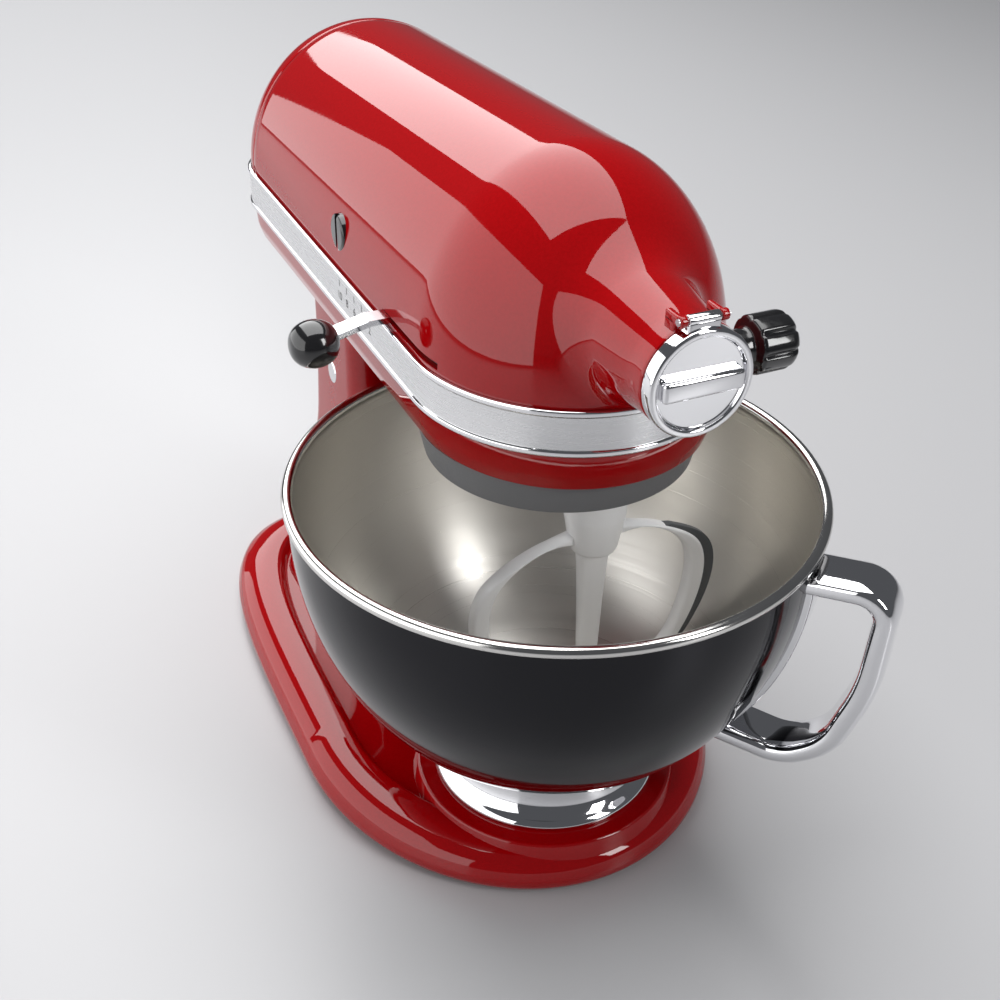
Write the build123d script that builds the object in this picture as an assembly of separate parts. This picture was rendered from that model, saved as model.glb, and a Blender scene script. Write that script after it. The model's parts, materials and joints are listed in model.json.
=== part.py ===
from build123d import *
import os
from math import acos, asin, atan2, cos, degrees, pi, radians, sin, sqrt, tan

# Tilt-head stand mixer, in millimetres. Z is up, the nose of the head points to -Y, and the origin
# is on the floor under the centre of the bowl, which is also the axis that the planetary turns on.
os.makedirs("parts", exist_ok=True)

# ---- driving dimensions -------------------------------------------------------------------------
GAP = 0.3                  # clearance between pieces that move past each other
RUN = 0.05                 # radial clearance of a running fit
SNUG = 0.02                # radial clearance of a seated pin

# base
BASE_HALF = 101.0          # half-width of the foot, at its widest
BASE_MID_Y = 54.0          # where the foot is widest
BASE_FRONT = 120.0         # front half-length, from the widest place
BASE_REAR = 205.0          # rear half-length, from the widest place
BASE_UNDER = 3.0           # underside of the casting
LIP_Z = 22.0               # top of the outer lip
LIP_WIDTH = 24.0
WELL_Z = 17.0              # floor of the well inside the lip
SEAT_Z = 25.0              # raised round seat under the bowl
SEAT_R = 60.0
FOOT_R = 11.0

# pedestal and its hinge
NECK_HALF = 44.5
NECK_TOP = 209.0
PIVOT_Y, PIVOT_Z = 157.0, 160.0
PIN_R = 6.0
TILT_ROUND = 49.0          # radius of the pedestal's top about the hinge
POCKET_LEFT, POCKET_RIGHT = -24.0, 38.0
POCKET_FRONT, POCKET_REAR = 131.0, 186.0
LOCK_Y, LOCK_Z, LOCK_R = 139.0, 192.0, 4.0
LOCK_TRAVEL = 8.0

# bowl
RIM_Z = 179.0
RIM_R = 111.5              # centre line of the rolled rim
RIM_ROLL = 2.4
BOWL_WALL = 1.6
BOWL_BELLY_Z = 166.0       # height where the wall turns from upright to round
BOWL_BELLY_R = 111.0
BOWL_DEPTH = 128.0         # vertical half-axis of the round part
BOWL_FLOOR_Z = 40.0
HANDLE_ANGLE = -50.0       # plan direction of the handle

# head
HEAD_HALF = 61.5           # half-width at the trim band
NOSE = 65.0                # front half-length from the bowl axis
REAR_ROUND = 34.0          # radius of the rear end's corners
UNDER_Z = 211.0            # underside of the head
BAND_LOW, BAND_TOP = 228.0, 247.0
SEAM_Z = 237.5             # joint between the two housings, behind the trim band
CROWN = 75.0               # height of the dome above the band at the front
CROWN_REAR = 66.0
WALL = 3.2
DOME_STEP = 0.4            # the dome rises this far inside the skirt, behind the trim band's edge
COVER_Y = 212.0            # the rear cover starts here
REAR_Y = COVER_Y + REAR_ROUND                                  # flat rear end of the head
HUB_Z, HUB_FACE = 271.0, -92.0
HUB_R = 19.8
HUB_BORE = 12.7
HUB_BORE_END = -68.6       # a relief groove follows, and then the drive shaft's socket
INLET_Z = 219.8
COVER_SCREW_Z = 284.0

# drive
MOTOR_Z = 262.0
BRUSH_Y = 88.0
BRUSH_CAP_X = 61.2
RING_TEETH, PLANET_TEETH, PLANET_MODULE = 42, 16, 1.5
GEAR_TEETH, PINION_TEETH, GEAR_MODULE = 68, 18, 1.25
BEVEL_TEETH, HUB_TEETH, BEVEL_MODULE = 40, 16, 1.5
WORM_OFFSET = 28.0
OFFSET = PLANET_MODULE * (RING_TEETH - PLANET_TEETH) / 2       # planet axis from the bowl axis
COUNTER_REACH = GEAR_MODULE * (GEAR_TEETH + PINION_TEETH) / 2
COUNTER_X = WORM_OFFSET
COUNTER_Y = sqrt(COUNTER_REACH**2 - COUNTER_X**2)

# speed lever
LEVER_Y, LEVER_TRAVEL = 30.0, 42.0
LEVER_Z = 250.0


# ---- helpers ------------------------------------------------------------------------------------
def save(name, shape):
    """Write one node as STEP."""
    solids = shape.solids()
    export_step(solids[0] if len(solids) == 1 else Compound(children=list(solids)), f"parts/{name}.step")


def rod_z(radius, low, high, x=0.0, y=0.0):
    return Pos(x, y, (low + high) / 2) * Cylinder(radius, high - low)


def rod_y(radius, low, high, x=0.0, z=0.0):
    return Pos(x, (low + high) / 2, z) * Rot(90, 0, 0) * Cylinder(radius, high - low)


def rod_x(radius, low, high, y=0.0, z=0.0):
    return Pos((low + high) / 2, y, z) * Rot(0, 90, 0) * Cylinder(radius, high - low)


def block(low, high):
    """Box between two corners."""
    middle = [(a + b) / 2 for a, b in zip(low, high)]
    return Pos(*middle) * Box(*[b - a for a, b in zip(low, high)])


def turned(points):
    """Solid of revolution about Z from (radius, height) points."""
    outline = Polyline(*[(r, 0, z) for r, z in points], close=True)
    return revolve(make_face(outline), Axis.Z, 360)


def sector(inner, outer, low, high, middle, width):
    """Slice of a ring between two heights, centred on a plan angle in degrees."""
    ring = rod_z(outer, low, high) - rod_z(inner, low - 1, high + 1)
    reach = outer * 1.5
    side = reach * tan(radians(width / 2))
    wedge = extrude(make_face(Polyline((0, 0), (reach, -side), (reach, side), close=True)), high - low)
    return ring & (Rot(0, 0, middle) * Pos(0, 0, low) * wedge)


def ellipse_arc(across, up, start, size, height=0.0):
    """Arc of an ellipse centred on the sketch's upright axis."""
    return EllipticalCenterArc((0, height), across, up, start_angle=start, arc_size=size)


def bowl_curve(offset, start):
    """Round part of the bowl's side, from a lower angle up to the belly, as (radius, height)."""
    steps = 12
    turns = [radians(start * (1 - i / steps)) for i in range(steps + 1)]
    points = [((BOWL_BELLY_R + offset) * cos(a), BOWL_BELLY_Z + (BOWL_DEPTH + offset) * sin(a)) for a in turns]
    return Spline(*points)


def involute(angle):
    return tan(angle) - angle


def gear_face(teeth, module, addendum=1.0, dedendum=1.25, play=0.06, stretch=1.0):
    """Flat involute gear outline with a tooth on +X. Stretch lengthens the teeth for a bevel's cone."""
    pitch = teeth * module / 2
    base = pitch * cos(radians(20))
    tip = pitch + addendum * module * stretch
    root = pitch - dedendum * module * stretch
    half = pi / (2 * teeth) - play * module / pitch + involute(radians(20))
    start = max(root, base)
    flank = []
    for step in range(4):
        radius = start + (tip - start) * step / 3
        equivalent = pitch + (radius - pitch) / stretch
        turn = half - involute(acos(min(1.0, base / max(equivalent, base))))
        flank.append((radius, max(turn, 0.12 * pi / teeth)))
    points = []
    for tooth in range(teeth):
        middle = 2 * pi * tooth / teeth
        low = [(root, -flank[0][1])] if root < start - 0.01 else []
        high = [(root, flank[0][1])] if root < start - 0.01 else []
        side = low + [(r, -a) for r, a in flank] + [(r, a) for r, a in reversed(flank)] + high
        points += [(r * cos(middle + a), r * sin(middle + a)) for r, a in side]
    return make_face(Polyline(*points, close=True))


def gear(teeth, module, low, high, x=0.0, y=0.0, turn=0.0):
    return Pos(x, y, low) * Rot(0, 0, turn) * extrude(gear_face(teeth, module), high - low)


def bevel(teeth, module, height, shrink=0.72):
    """Bevel gear round Z whose pitch circle is at z 0 and whose apex is at the given height."""
    pitch = teeth * module / 2
    stretch = sqrt(pitch**2 + height**2) / height
    face = gear_face(teeth, module, addendum=0.5, play=0.3, stretch=stretch)
    inner = Pos(0, 0, height * (1 - shrink)) * scale(face, shrink)
    return loft([face, inner], ruled=True)


def foot_outline(inset, height):
    """Egg-shaped plan of the foot: an ellipse in front, a squarer curve behind."""
    half, front, rear = BASE_HALF - inset, BASE_FRONT - inset, BASE_REAR - inset
    points = []
    for step in range(-6, 7):
        angle = radians(15 * step)
        points.append((half * sin(angle), BASE_MID_Y - front * cos(angle)))
    for step in range(5, -6, -1):
        angle = radians(15 * step)
        x = half * abs(sin(angle)) ** 0.5 * (1 if step > 0 else -1)
        points.append((x if step else 0.0, BASE_MID_Y + rear * cos(angle) ** 0.5))
    return Pos(0, 0, height) * make_face(Spline(*points, periodic=True))


def head_plan(grow, height):
    """Plan of the head at the trim band, grown outwards: an elliptical nose and a rounded rear."""
    half, corner, inner = HEAD_HALF + grow, REAR_ROUND + grow, HEAD_HALF - REAR_ROUND
    nose = ellipse_arc(half, NOSE + grow, 180, 180)
    right = CenterArc((inner, COVER_Y), corner, 0, 90)
    left = CenterArc((-inner, COVER_Y), corner, 90, 90)
    runs = [Line(nose @ 1, right @ 0), Line(right @ 1, left @ 0), Line(left @ 1, nose @ 0)]
    return Pos(0, 0, height) * make_face([nose, runs[0], right, runs[1], left, runs[2]])


def crown_height(y):
    """Height of the dome's ridge above the band: highest in front, falling gently to the rear."""
    return CROWN - (CROWN - CROWN_REAR) * max(y / COVER_Y, 0.0)


def dome(shell, start, end=None):
    """Upper half of the head between two stations, inside the shell thickness."""
    front, rear = NOSE - DOME_STEP - shell, REAR_ROUND - DOME_STEP - shell
    end = end or COVER_Y + rear
    stations = [-front * cos(radians(a)) for a in (8, 22, 38, 55, 72)] + [0, 30, 70, 110, 150, 185, COVER_Y]
    stations += [COVER_Y + rear * sin(radians(a)) for a in (15, 30, 45, 60, 75, 90)]
    stations = [start] + [y for y in stations if start + 1 < y < end - 1] + [end]
    return loft([dome_section(shell, y, front, rear) for y in stations])


def dome_section(shell, y, front, rear):
    """Half-ellipse across the head at one station."""
    half, height = HEAD_HALF - DOME_STEP - shell, crown_height(y) - shell
    if y < 0:
        shrink = sqrt(1 - (y / front) ** 2)
        half, height = half * shrink, height * shrink
    elif y > COVER_Y:
        loss = rear * (1 - sqrt(max(1 - ((y - COVER_Y) / rear) ** 2, 0.0)))
        half, height = half - loss, height - loss
    arc = ellipse_arc(half, height, 0, 180)
    plane = Plane(origin=(0, y, BAND_TOP), x_dir=(1, 0, 0), z_dir=(0, -1, 0))
    return plane * make_face([arc, Line(arc @ 1, arc @ 0)])


# ---- base ---------------------------------------------------------------------------------------
FOOT_SPOTS = [(0, 0), (-70, 30), (70, 30), (-66, 222), (66, 222)]
BOLT_SPOTS = [(-44, 112), (44, 112), (-44, 214), (44, 214)]


def base_casting():
    lip = loft([foot_outline(i, z) for i, z in ((1.5, BASE_UNDER), (0, 8), (1.5, 14), (7, 19.5), (14, LIP_Z))])
    well = loft([foot_outline(LIP_WIDTH + 5, WELL_Z), foot_outline(LIP_WIDTH, LIP_Z + 1)])
    cavity = extrude(foot_outline(9, BASE_UNDER - 1), 10)
    seat = turned([(0, 5), (SEAT_R + 2, 5), (SEAT_R + 2, WELL_Z), (SEAT_R, SEAT_Z - 1), (SEAT_R - 1, SEAT_Z),
                   (0, SEAT_Z)])
    body = lip - well - cavity + seat
    for x, y in FOOT_SPOTS:
        body += rod_z(FOOT_R + 2, BASE_UNDER, 13, x, y)
    for x, y in FOOT_SPOTS:
        body -= rod_z(4.5, BASE_UNDER - 1, 10, x, y)
    for x, y in BOLT_SPOTS:
        body -= rod_z(4.1, 10, 20, x, y)
    for x, y in CLAMP_SCREWS:
        body -= rod_z(2.6, 14, SEAT_Z + 1, x, y)
    return body


def rubber_feet():
    feet = []
    for x, y in FOOT_SPOTS:
        disc = rod_z(FOOT_R, 0, BASE_UNDER, x, y)
        feet.append(fillet(disc.edges().sort_by(Axis.Z)[0], 1.2) + rod_z(4.4, BASE_UNDER, 9.5, x, y))
    return Compound(children=feet)


def neck_section(half, front, rear, corner, height):
    return Pos(0, (front + rear) / 2, height) * RectangleRounded(2 * half, rear - front, corner)


def pedestal_column():
    body = loft([neck_section(*s) for s in ((60, 92, 226, 30, WELL_Z), (57, 98, 220, 27, 32),
                                            (51, 111, 206, 21, 75), (46, 121, 194, 15, 125),
                                            (NECK_HALF, 125, 190, 12, 165), (NECK_HALF, 125, 190, 12, NECK_TOP))])
    above = block((-80, PIVOT_Y, PIVOT_Z), (80, 260, 260)) - rod_x(TILT_ROUND, -90, 90, PIVOT_Y, PIVOT_Z)
    body -= above
    body -= block((POCKET_LEFT, POCKET_FRONT, 140), (POCKET_RIGHT, POCKET_REAR, 230))
    body -= block((POCKET_LEFT, POCKET_FRONT, 162), (-POCKET_LEFT, 230, 230))
    body -= loft([neck_section(*s) for s in ((36, 100, 218, 14, WELL_Z - 1), (37, 105, 212, 14, 42),
                                            (41, 119, 198, 12, 80), (37, 130, 185, 10, 125))])
    body -= rod_x(PIN_R + SNUG, -60, 60, PIVOT_Y, PIVOT_Z)
    body -= rod_x(LOCK_R + RUN, 30, 60, LOCK_Y, LOCK_Z)
    body -= rod_y(2.6, 120, PIVOT_Y, -34, PIVOT_Z)
    body -= rod_z(4.1, 186, 230, -34, 141)
    for x, y in BOLT_SPOTS:
        body -= rod_z(4.1, WELL_Z - 1, 36, x, y)
    return body


def pedestal_bolts():
    bolts = []
    for x, y in BOLT_SPOTS:
        bolts.append(rod_z(6.5, 6, 12 - SNUG, x, y) + rod_z(4, 11, 34, x, y) - rod_z(2.5, 5, 9, x, y))
    return Compound(children=bolts)


def hinge_pin():
    pin = rod_x(PIN_R, -NECK_HALF - 0.6, NECK_HALF + 0.6, PIVOT_Y, PIVOT_Z)
    return chamfer(pin.edges().filter_by(GeomType.CIRCLE), 0.8)


def hinge_set_screw():
    screw = rod_y(2.5, 127, PIVOT_Y - PIN_R - 0.1, -34, PIVOT_Z)
    return screw - rod_y(1.3, 126, 130, -34, PIVOT_Z)


def height_adjust_screw():
    screw = rod_z(4, 188, UNDER_Z - GAP, -34, 141)
    return screw - block((-38.5, 140.3, UNDER_Z - 2), (-29.5, 141.7, UNDER_Z))


# ---- bowl clamp and bowl ------------------------------------------------------------------------
CLAMP_SCREWS = [(19 * cos(radians(a)), 19 * sin(radians(a))) for a in (30, 150, 270)]
LUG_ANGLES = (90, 210, 330)


def bowl_clamp_plate():
    plate = turned([(0, SEAT_Z), (36, SEAT_Z), (36, 33), (34.5, 34), (30, 34), (27, 31), (0, 31)])
    for angle in LUG_ANGLES:
        plate += sector(34, 40, 31, 33.5, angle, 34)
    for x, y in CLAMP_SCREWS:
        plate -= rod_z(2.6, SEAT_Z - 1, 40, x, y)
    return plate


def clamp_plate_screws():
    screws = []
    for x, y in CLAMP_SCREWS:
        head = rod_z(4.5, 31 + SNUG, 33.5, x, y) - block((x - 5, y - 0.6, 32.6), (x + 5, y + 0.6, 34))
        screws.append(rod_z(2.5, 16, 31 + SNUG, x, y) + head)
    return Compound(children=screws)


def bowl_radius(z, offset=0.0):
    """Outer radius of the bowl's wall at a height."""
    if z >= BOWL_BELLY_Z:
        return BOWL_BELLY_R - offset
    return (BOWL_BELLY_R - offset) * sqrt(1 - ((BOWL_BELLY_Z - z) / (BOWL_DEPTH - offset)) ** 2)


def bowl_shell():
    """Deep round bowl with a flat floor and a rolled rim."""
    start = -degrees(asin((BOWL_BELLY_Z - BOWL_FLOOR_Z) / BOWL_DEPTH))
    outer, inner = bowl_curve(0, start), bowl_curve(-BOWL_WALL, start)
    low, high, top = outer @ 0, inner @ 0, RIM_Z - RIM_ROLL
    half_profile = [Line((0, low.Y), low), outer, Line(outer @ 1, (BOWL_BELLY_R, top)),
                    Line((BOWL_BELLY_R, top), (BOWL_BELLY_R - BOWL_WALL, top)),
                    Line((BOWL_BELLY_R - BOWL_WALL, top), inner @ 1), inner,
                    Line(high, (0, high.Y)), Line((0, high.Y), (0, low.Y))]
    wall = revolve(Plane.XZ * make_face(half_profile), Axis.Z, 360)
    rim = Pos(0, 0, top) * Torus(RIM_R - 0.6, RIM_ROLL)
    return wall + rim


def bowl_foot_ring():
    """Flared foot whose three inner lugs pass under the lugs of the clamp plate."""
    floor = BOWL_FLOOR_Z
    low = SEAT_Z + GAP
    ring = turned([(44.5, low), (51, low), (51.5, low + 2), (46, low + 7), (43.5, floor + 9), (40.5, floor + 8),
                   (42.5, low + 7)])
    for angle in LUG_ANGLES:
        ring += sector(36.8, 45, low, low + 4.2, angle, 30)
    return ring - bowl_solid(0.1)


def bowl_solid(grow):
    """The bowl's outside as one solid, for trimming what is fixed to it."""
    arc = bowl_curve(grow, -90)
    top = RIM_Z - RIM_ROLL
    side = [arc, Line(arc @ 1, (BOWL_BELLY_R + grow, top)), Line((BOWL_BELLY_R + grow, top), (0, top)),
            Line((0, top), arc @ 0)]
    return revolve(Plane.XZ * make_face(side), Axis.Z, 360)


def handle_bar(points, width, thick):
    """Flat bar swept along a path of straight runs and tangent arcs in the XZ plane."""
    path = FilletPolyline(*points, radius=[12, 24, 16])
    frame = Plane(origin=path @ 0, x_dir=(0, 1, 0), z_dir=path % 0)
    return sweep(frame * RectangleRounded(width, thick, thick * 0.45), path=path)


def bowl_handle():
    """D-shaped handle: a flat arm under the rim, an upright grip and an arm back to the bowl's side."""
    reach = BOWL_BELLY_R - 1.0
    bar = handle_bar([(reach, 0, 167), (145, 0, 171), (139, 0, 92), (115, 0, 68), (78, 0, 74)], 22, 8)
    strap = loft([Pos(bowl_radius(z) + 0.4, 0, z) * Rectangle(4, 20) for z in (82, 104, 128, 150, 164)])
    rim = Pos(0, 0, RIM_Z - RIM_ROLL) * Torus(RIM_R - 0.6, RIM_ROLL + 0.1)
    return Rot(0, 0, HANDLE_ANGLE) * (bar + strap - bowl_solid(0.1) - rim)


# ---- head shells --------------------------------------------------------------------------------
def upper_housing():
    skirt = extrude(head_plan(0, SEAM_Z), BAND_TOP - SEAM_Z) - block((-99, COVER_Y, 200), (99, 300, 300))
    outer = dome(0, -NOSE * 0.99, COVER_Y) + skirt
    boss = Pos(0, 0, HUB_Z) * Rot(90, 0, 0) * turned([(0, 40), (28, 40), (24, 62), (HUB_R + 1.5, 74), (HUB_R, 84),
                                                     (HUB_R, -HUB_FACE), (0, -HUB_FACE)])
    outer += boss
    inner = dome(WALL, -NOSE * 0.94, COVER_Y) + extrude(head_plan(-WALL, SEAM_Z - 1), BAND_TOP - SEAM_Z + 1)
    body = outer - inner
    body -= rod_y(HUB_BORE + 3, -99, -30, 0, HUB_Z)
    body -= rod_x(5.0, -99, 99, HUB_FACE + 12, HUB_Z) - block((-99, -99, 200), (0, 0, 300))
    body -= rod_x(8.2, -99, 99, BRUSH_Y, MOTOR_Z)
    body -= block((-99, LEVER_Y - LEVER_TRAVEL - 5, BAND_TOP), (-40, LEVER_Y + 5, LEVER_Z + 3))
    return body + hub_hinge_ears()


def rear_cover():
    outer = dome(0, COVER_Y + GAP)
    inner = dome(WALL, COVER_Y + GAP)
    skirt = extrude(head_plan(0, SEAM_Z), BAND_TOP - SEAM_Z) - extrude(head_plan(-WALL, SEAM_Z - 1), 12)
    skirt -= block((-99, -99, 200), (99, COVER_Y + GAP, 300))
    body = (outer - inner) + skirt + (rod_y(7, REAR_Y - 22, REAR_Y + 4, 0, COVER_SCREW_Z) & outer)
    return body - rod_y(2.6, 200, 270, 0, COVER_SCREW_Z) - rod_y(5, REAR_Y - 6, 270, 0, COVER_SCREW_Z)


def rear_cover_screw():
    seat = REAR_Y - 6
    screw = rod_y(2.48, 186, seat + 1, 0, COVER_SCREW_Z) + rod_y(4.8, seat + SNUG, seat + 3.5, 0, COVER_SCREW_Z)
    return screw - block((-6, seat + 2.4, COVER_SCREW_Z - 0.6), (6, seat + 6, COVER_SCREW_Z + 0.6))


def lower_housing():
    skirt = loft([head_plan(-3.5, UNDER_Z), head_plan(-1.2, UNDER_Z + 7), head_plan(-0.2, BAND_LOW)])
    body = skirt + extrude(head_plan(-0.2, BAND_LOW), SEAM_Z - BAND_LOW - 0.1)
    body -= extrude(head_plan(-WALL - 1.5, UNDER_Z + 3.5) & Pos(0, 200, UNDER_Z + 3.5) * Rectangle(200, 260), 30)
    body -= extrude(head_plan(-WALL - 1.5, BAND_LOW + 1), 30)
    body -= rod_z(48, 200, BAND_LOW - 3)
    tongue = block((-22, PIVOT_Y - 16, PIVOT_Z), (22, PIVOT_Y + 16, UNDER_Z + 1)) + rod_x(16, -22, 22, PIVOT_Y, PIVOT_Z)
    tab = block((31, LOCK_Y - 6.5, LOCK_Z - 7), (37, LOCK_Y + 6.5, UNDER_Z + 1))
    body += tongue + tab
    body -= rod_x(PIN_R + RUN, -60, 60, PIVOT_Y, PIVOT_Z)
    body -= rod_x(LOCK_R + 0.5, 25, 45, LOCK_Y, LOCK_Z)
    body += rod_z(11, BAND_LOW, 240) + rod_z(8, BAND_LOW, 240, COUNTER_X, COUNTER_Y)
    body -= rod_z(9, 200, 250) + rod_z(6, BAND_LOW + 1, 250, COUNTER_X, COUNTER_Y)
    body -= rod_y(6, REAR_Y - 21, 260, 0, INLET_Z) + rod_y(7.9, REAR_Y - 4, 260, 0, INLET_Z)
    return body


def trim_band():
    """Metal band that hides the seam: a recessed face between two raised edges."""
    levels = [BAND_LOW + 0.1, BAND_LOW + 2.3, BAND_TOP - 2.3, BAND_TOP - 0.1]
    band = None
    for low, high, proud in zip(levels, levels[1:], (1.7, 1.0, 1.7)):
        ring = extrude(head_plan(proud, low) - head_plan(0.1, low), high - low)
        band = ring if band is None else band + ring
    return band


def drip_ring():
    """Satin metal ring round the planetary, under the head."""
    low = 197.0
    return turned([(53.0, low), (54.5, low), (55.2, low + 1), (57.6, UNDER_Z - 0.1), (49.5, UNDER_Z - 0.1),
                   (49.5, UNDER_Z - 2.5), (53.0, UNDER_Z - 3)])


def ring_gear():
    low, high = 215.0, 225.0
    spaces = extrude(gear_face(RING_TEETH, PLANET_MODULE, 1.25, 1.0, -0.06), high - low + 2)
    return rod_z(40, low, high) - Pos(0, 0, low - 1) * spaces


def cord_inlet():
    """Grommet where the mains lead enters the rear of the head."""
    flange = rod_y(7.8, REAR_Y - 4 + SNUG, REAR_Y, 0, INLET_Z)
    return flange + rod_y(5.9, REAR_Y - 14, REAR_Y + 4, 0, INLET_Z) - rod_y(3.6, 210, 260, 0, INLET_Z)


def brush_cap(side):
    """Slotted cap over a brush, on one side of the head."""
    low, high = sorted((side * 50.0, side * BRUSH_CAP_X))
    near, far = sorted((side * (BRUSH_CAP_X - 1.6), side * 99.0))
    return rod_x(8.0, low, high, BRUSH_Y, MOTOR_Z) - block((near, BRUSH_Y - 0.9, MOTOR_Z - 9), (far, BRUSH_Y + 0.9, MOTOR_Z + 9))


def brush_holders():
    parts = []
    for side in (-1, 1):
        low, high = sorted((side * 20, side * 50 - side * 0.02))
        parts.append(rod_x(6.5, low, high, BRUSH_Y, MOTOR_Z) - rod_x(4.6, low - 1, high + 1, BRUSH_Y, MOTOR_Z))
    return Compound(children=parts)


def carbon_brushes():
    return Compound(children=[block((min(s * 12.3, s * 26), BRUSH_Y - 3, MOTOR_Z - 3),
                                    (max(s * 12.3, s * 26), BRUSH_Y + 3, MOTOR_Z + 3)) for s in (-1, 1)])


def brush_springs():
    coils = []
    for side in (-1, 1):
        for turn in range(6):
            x = side * (28.0 + 3.6 * turn)
            coils.append(Pos(x, BRUSH_Y, MOTOR_Z) * Rot(0, 90, 0) * Torus(3.2, 0.6))
        low, high = sorted((side * 26.2, side * 48))
        coils.append(rod_x(0.7, low, high, BRUSH_Y, MOTOR_Z))
    return Compound(children=coils)


def field_core():
    core = rod_y(36, 108, 152, 0, MOTOR_Z) - rod_y(23.5, 100, 160, 0, MOTOR_Z)
    flats = block((-34, 100, 200), (34, 160, 300))
    return core & flats


def field_windings():
    rings = [rod_y(32, a, b, 0, MOTOR_Z) - rod_y(24.5, a - 1, b + 1, 0, MOTOR_Z) for a, b in ((101, 107.9), (152.1, 159))]
    return Compound(children=rings)


def bearing_bracket(low, high, hole):
    """Cross wall inside the head that carries one end of the motor shaft."""
    floor = UNDER_Z + 3.5 if low > 80 else BAND_LOW + 1
    plate = rod_y(40, low, high, 0, MOTOR_Z) & block((-50, low, floor), (50, high, 298))
    foot = block((-46, low, floor), (46, high, 240)) - block((-54, low - 1, 247), (-46, high + 1, 254))
    return plate + foot - rod_y(hole, low - 1, high + 1, 0, MOTOR_Z) - rod_y(2.5, low - 1, high + 1, 0, COVER_SCREW_Z)


def motor_bearings():
    seats = ((66, 74), (185, 193))
    return Compound(children=[rod_y(10, a, b, 0, MOTOR_Z) - rod_y(4 + RUN, a - 1, b + 1, 0, MOTOR_Z) for a, b in seats])


def speed_control_plate():
    plate = rod_y(24, 178, 180, 0, MOTOR_Z) - rod_y(9, 170, 190, 0, MOTOR_Z)
    return plate + block((-48, 178, 248), (-20, 180, 256))


# ---- drive train --------------------------------------------------------------------------------
def armature_shaft():
    return rod_y(4, 34.9, 197, 0, MOTOR_Z)


def on_shaft(radius, low, high):
    return rod_y(radius, low, high, 0, MOTOR_Z) - rod_y(4 + SNUG, low - 1, high + 1, 0, MOTOR_Z)


def armature_core():
    core = on_shaft(22.5, 109, 151)
    for slot in range(12):
        cut = Rot(0, slot * 30, 0) * block((-1.2, 100, 17.5), (1.2, 160, 30))
        core -= Pos(0, 0, MOTOR_Z) * cut
    return core


def armature_windings():
    return Compound(children=[on_shaft(17, 102, 108.9), on_shaft(17, 151.1, 158)])


def commutator():
    body = on_shaft(12, 78, 98)
    for bar in range(16):
        body -= Pos(0, 0, MOTOR_Z) * Rot(0, bar * 22.5, 0) * block((-0.3, 77, 11.2), (0.3, 99, 14))
    return body


def motor_fan():
    hub = on_shaft(9, 162, 174)
    for blade in range(9):
        vane = Pos(0, 168, 18) * Rot(0, 0, 35) * Box(13, 1.6, 20)
        hub += Pos(0, 0, MOTOR_Z) * Rot(0, blade * 40, 0) * vane
    return hub - rod_y(4 + SNUG, 150, 190, 0, MOTOR_Z)


def worm():
    body = on_shaft(6.2, 35, 57)
    for turn in range(6):
        collar = Pos(0, 37.2 + 3.5 * turn, MOTOR_Z) * Rot(90, 0, 0) * (Cylinder(8, 1.5) - Cylinder(6.1, 3))
        body += collar
    return body - rod_y(4 + SNUG, 30, 60, 0, MOTOR_Z)


def worm_wheel():
    wheel = gear(24, 1.5, MOTOR_Z - 6, MOTOR_Z + 6, COUNTER_X, COUNTER_Y)
    return wheel - rod_z(4 + SNUG, 200, 300, COUNTER_X, COUNTER_Y)


def countershaft():
    return rod_z(4, BAND_LOW + 3, MOTOR_Z + 12, COUNTER_X, COUNTER_Y)


def shaft_bushes():
    """Plain bearings of the centre shaft and the countershaft."""
    centre = rod_z(8.98, BAND_LOW - 3, 240.5) - rod_z(5 + RUN, 200, 260)
    counter = rod_z(5.98, BAND_LOW + 2, 240, COUNTER_X, COUNTER_Y)
    return Compound(children=[centre, counter - rod_z(4 + RUN, 200, 260, COUNTER_X, COUNTER_Y)])


def drive_pinion():
    mesh = degrees(atan2(COUNTER_Y, COUNTER_X)) + 180 + 180 / PINION_TEETH
    body = gear(PINION_TEETH, GEAR_MODULE, 242, 251, COUNTER_X, COUNTER_Y, mesh)
    return body - rod_z(4 + SNUG, 200, 300, COUNTER_X, COUNTER_Y)


def center_gear():
    """Spur gear that the pinion drives, with the bevel for the hub on top of it."""
    mesh = degrees(atan2(COUNTER_Y, COUNTER_X))
    apex = HUB_TEETH * BEVEL_MODULE / 2
    body = gear(GEAR_TEETH, GEAR_MODULE, 243, 250, turn=mesh)
    body += Pos(0, 0, HUB_Z - apex) * Rot(0, 0, -90) * bevel(BEVEL_TEETH, BEVEL_MODULE, apex)
    body += rod_z(26, 249, HUB_Z - apex + 1)
    return body - rod_z(5 + SNUG, 200, 300)


def center_shaft():
    return rod_z(5, 199, 261)


def planetary_disc():
    """Carrier under the head: it turns round the bowl axis and holds the beater's spindle."""
    body = turned([(0, 200), (40, 200), (49, 203), (49, 207), (44, 211), (0, 211)])
    body += rod_z(14, 191, 212, OFFSET)
    body -= rod_z(5 + SNUG, 150, 260)
    return body - rod_z(6.35 + RUN, 150, 260, OFFSET)


def beater_shaft():
    return rod_z(6.35, 158, 224.7, OFFSET) - rod_y(2.02, -20, 20, OFFSET, 172)


def planet_pinion():
    body = gear(PLANET_TEETH, PLANET_MODULE, 215.5, 224.5, OFFSET)
    return body - rod_z(6.35 + SNUG, 200, 300, OFFSET)


def hub_drive_shaft():
    """Shaft to the hub, with a square socket for an attachment's shank."""
    body = rod_y(5, -60, -18, 0, HUB_Z) + rod_y(9, -68, -59, 0, HUB_Z)
    return body - block((-4.8, -90, HUB_Z - 4.8), (4.8, -60.5, HUB_Z + 4.8))


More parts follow.
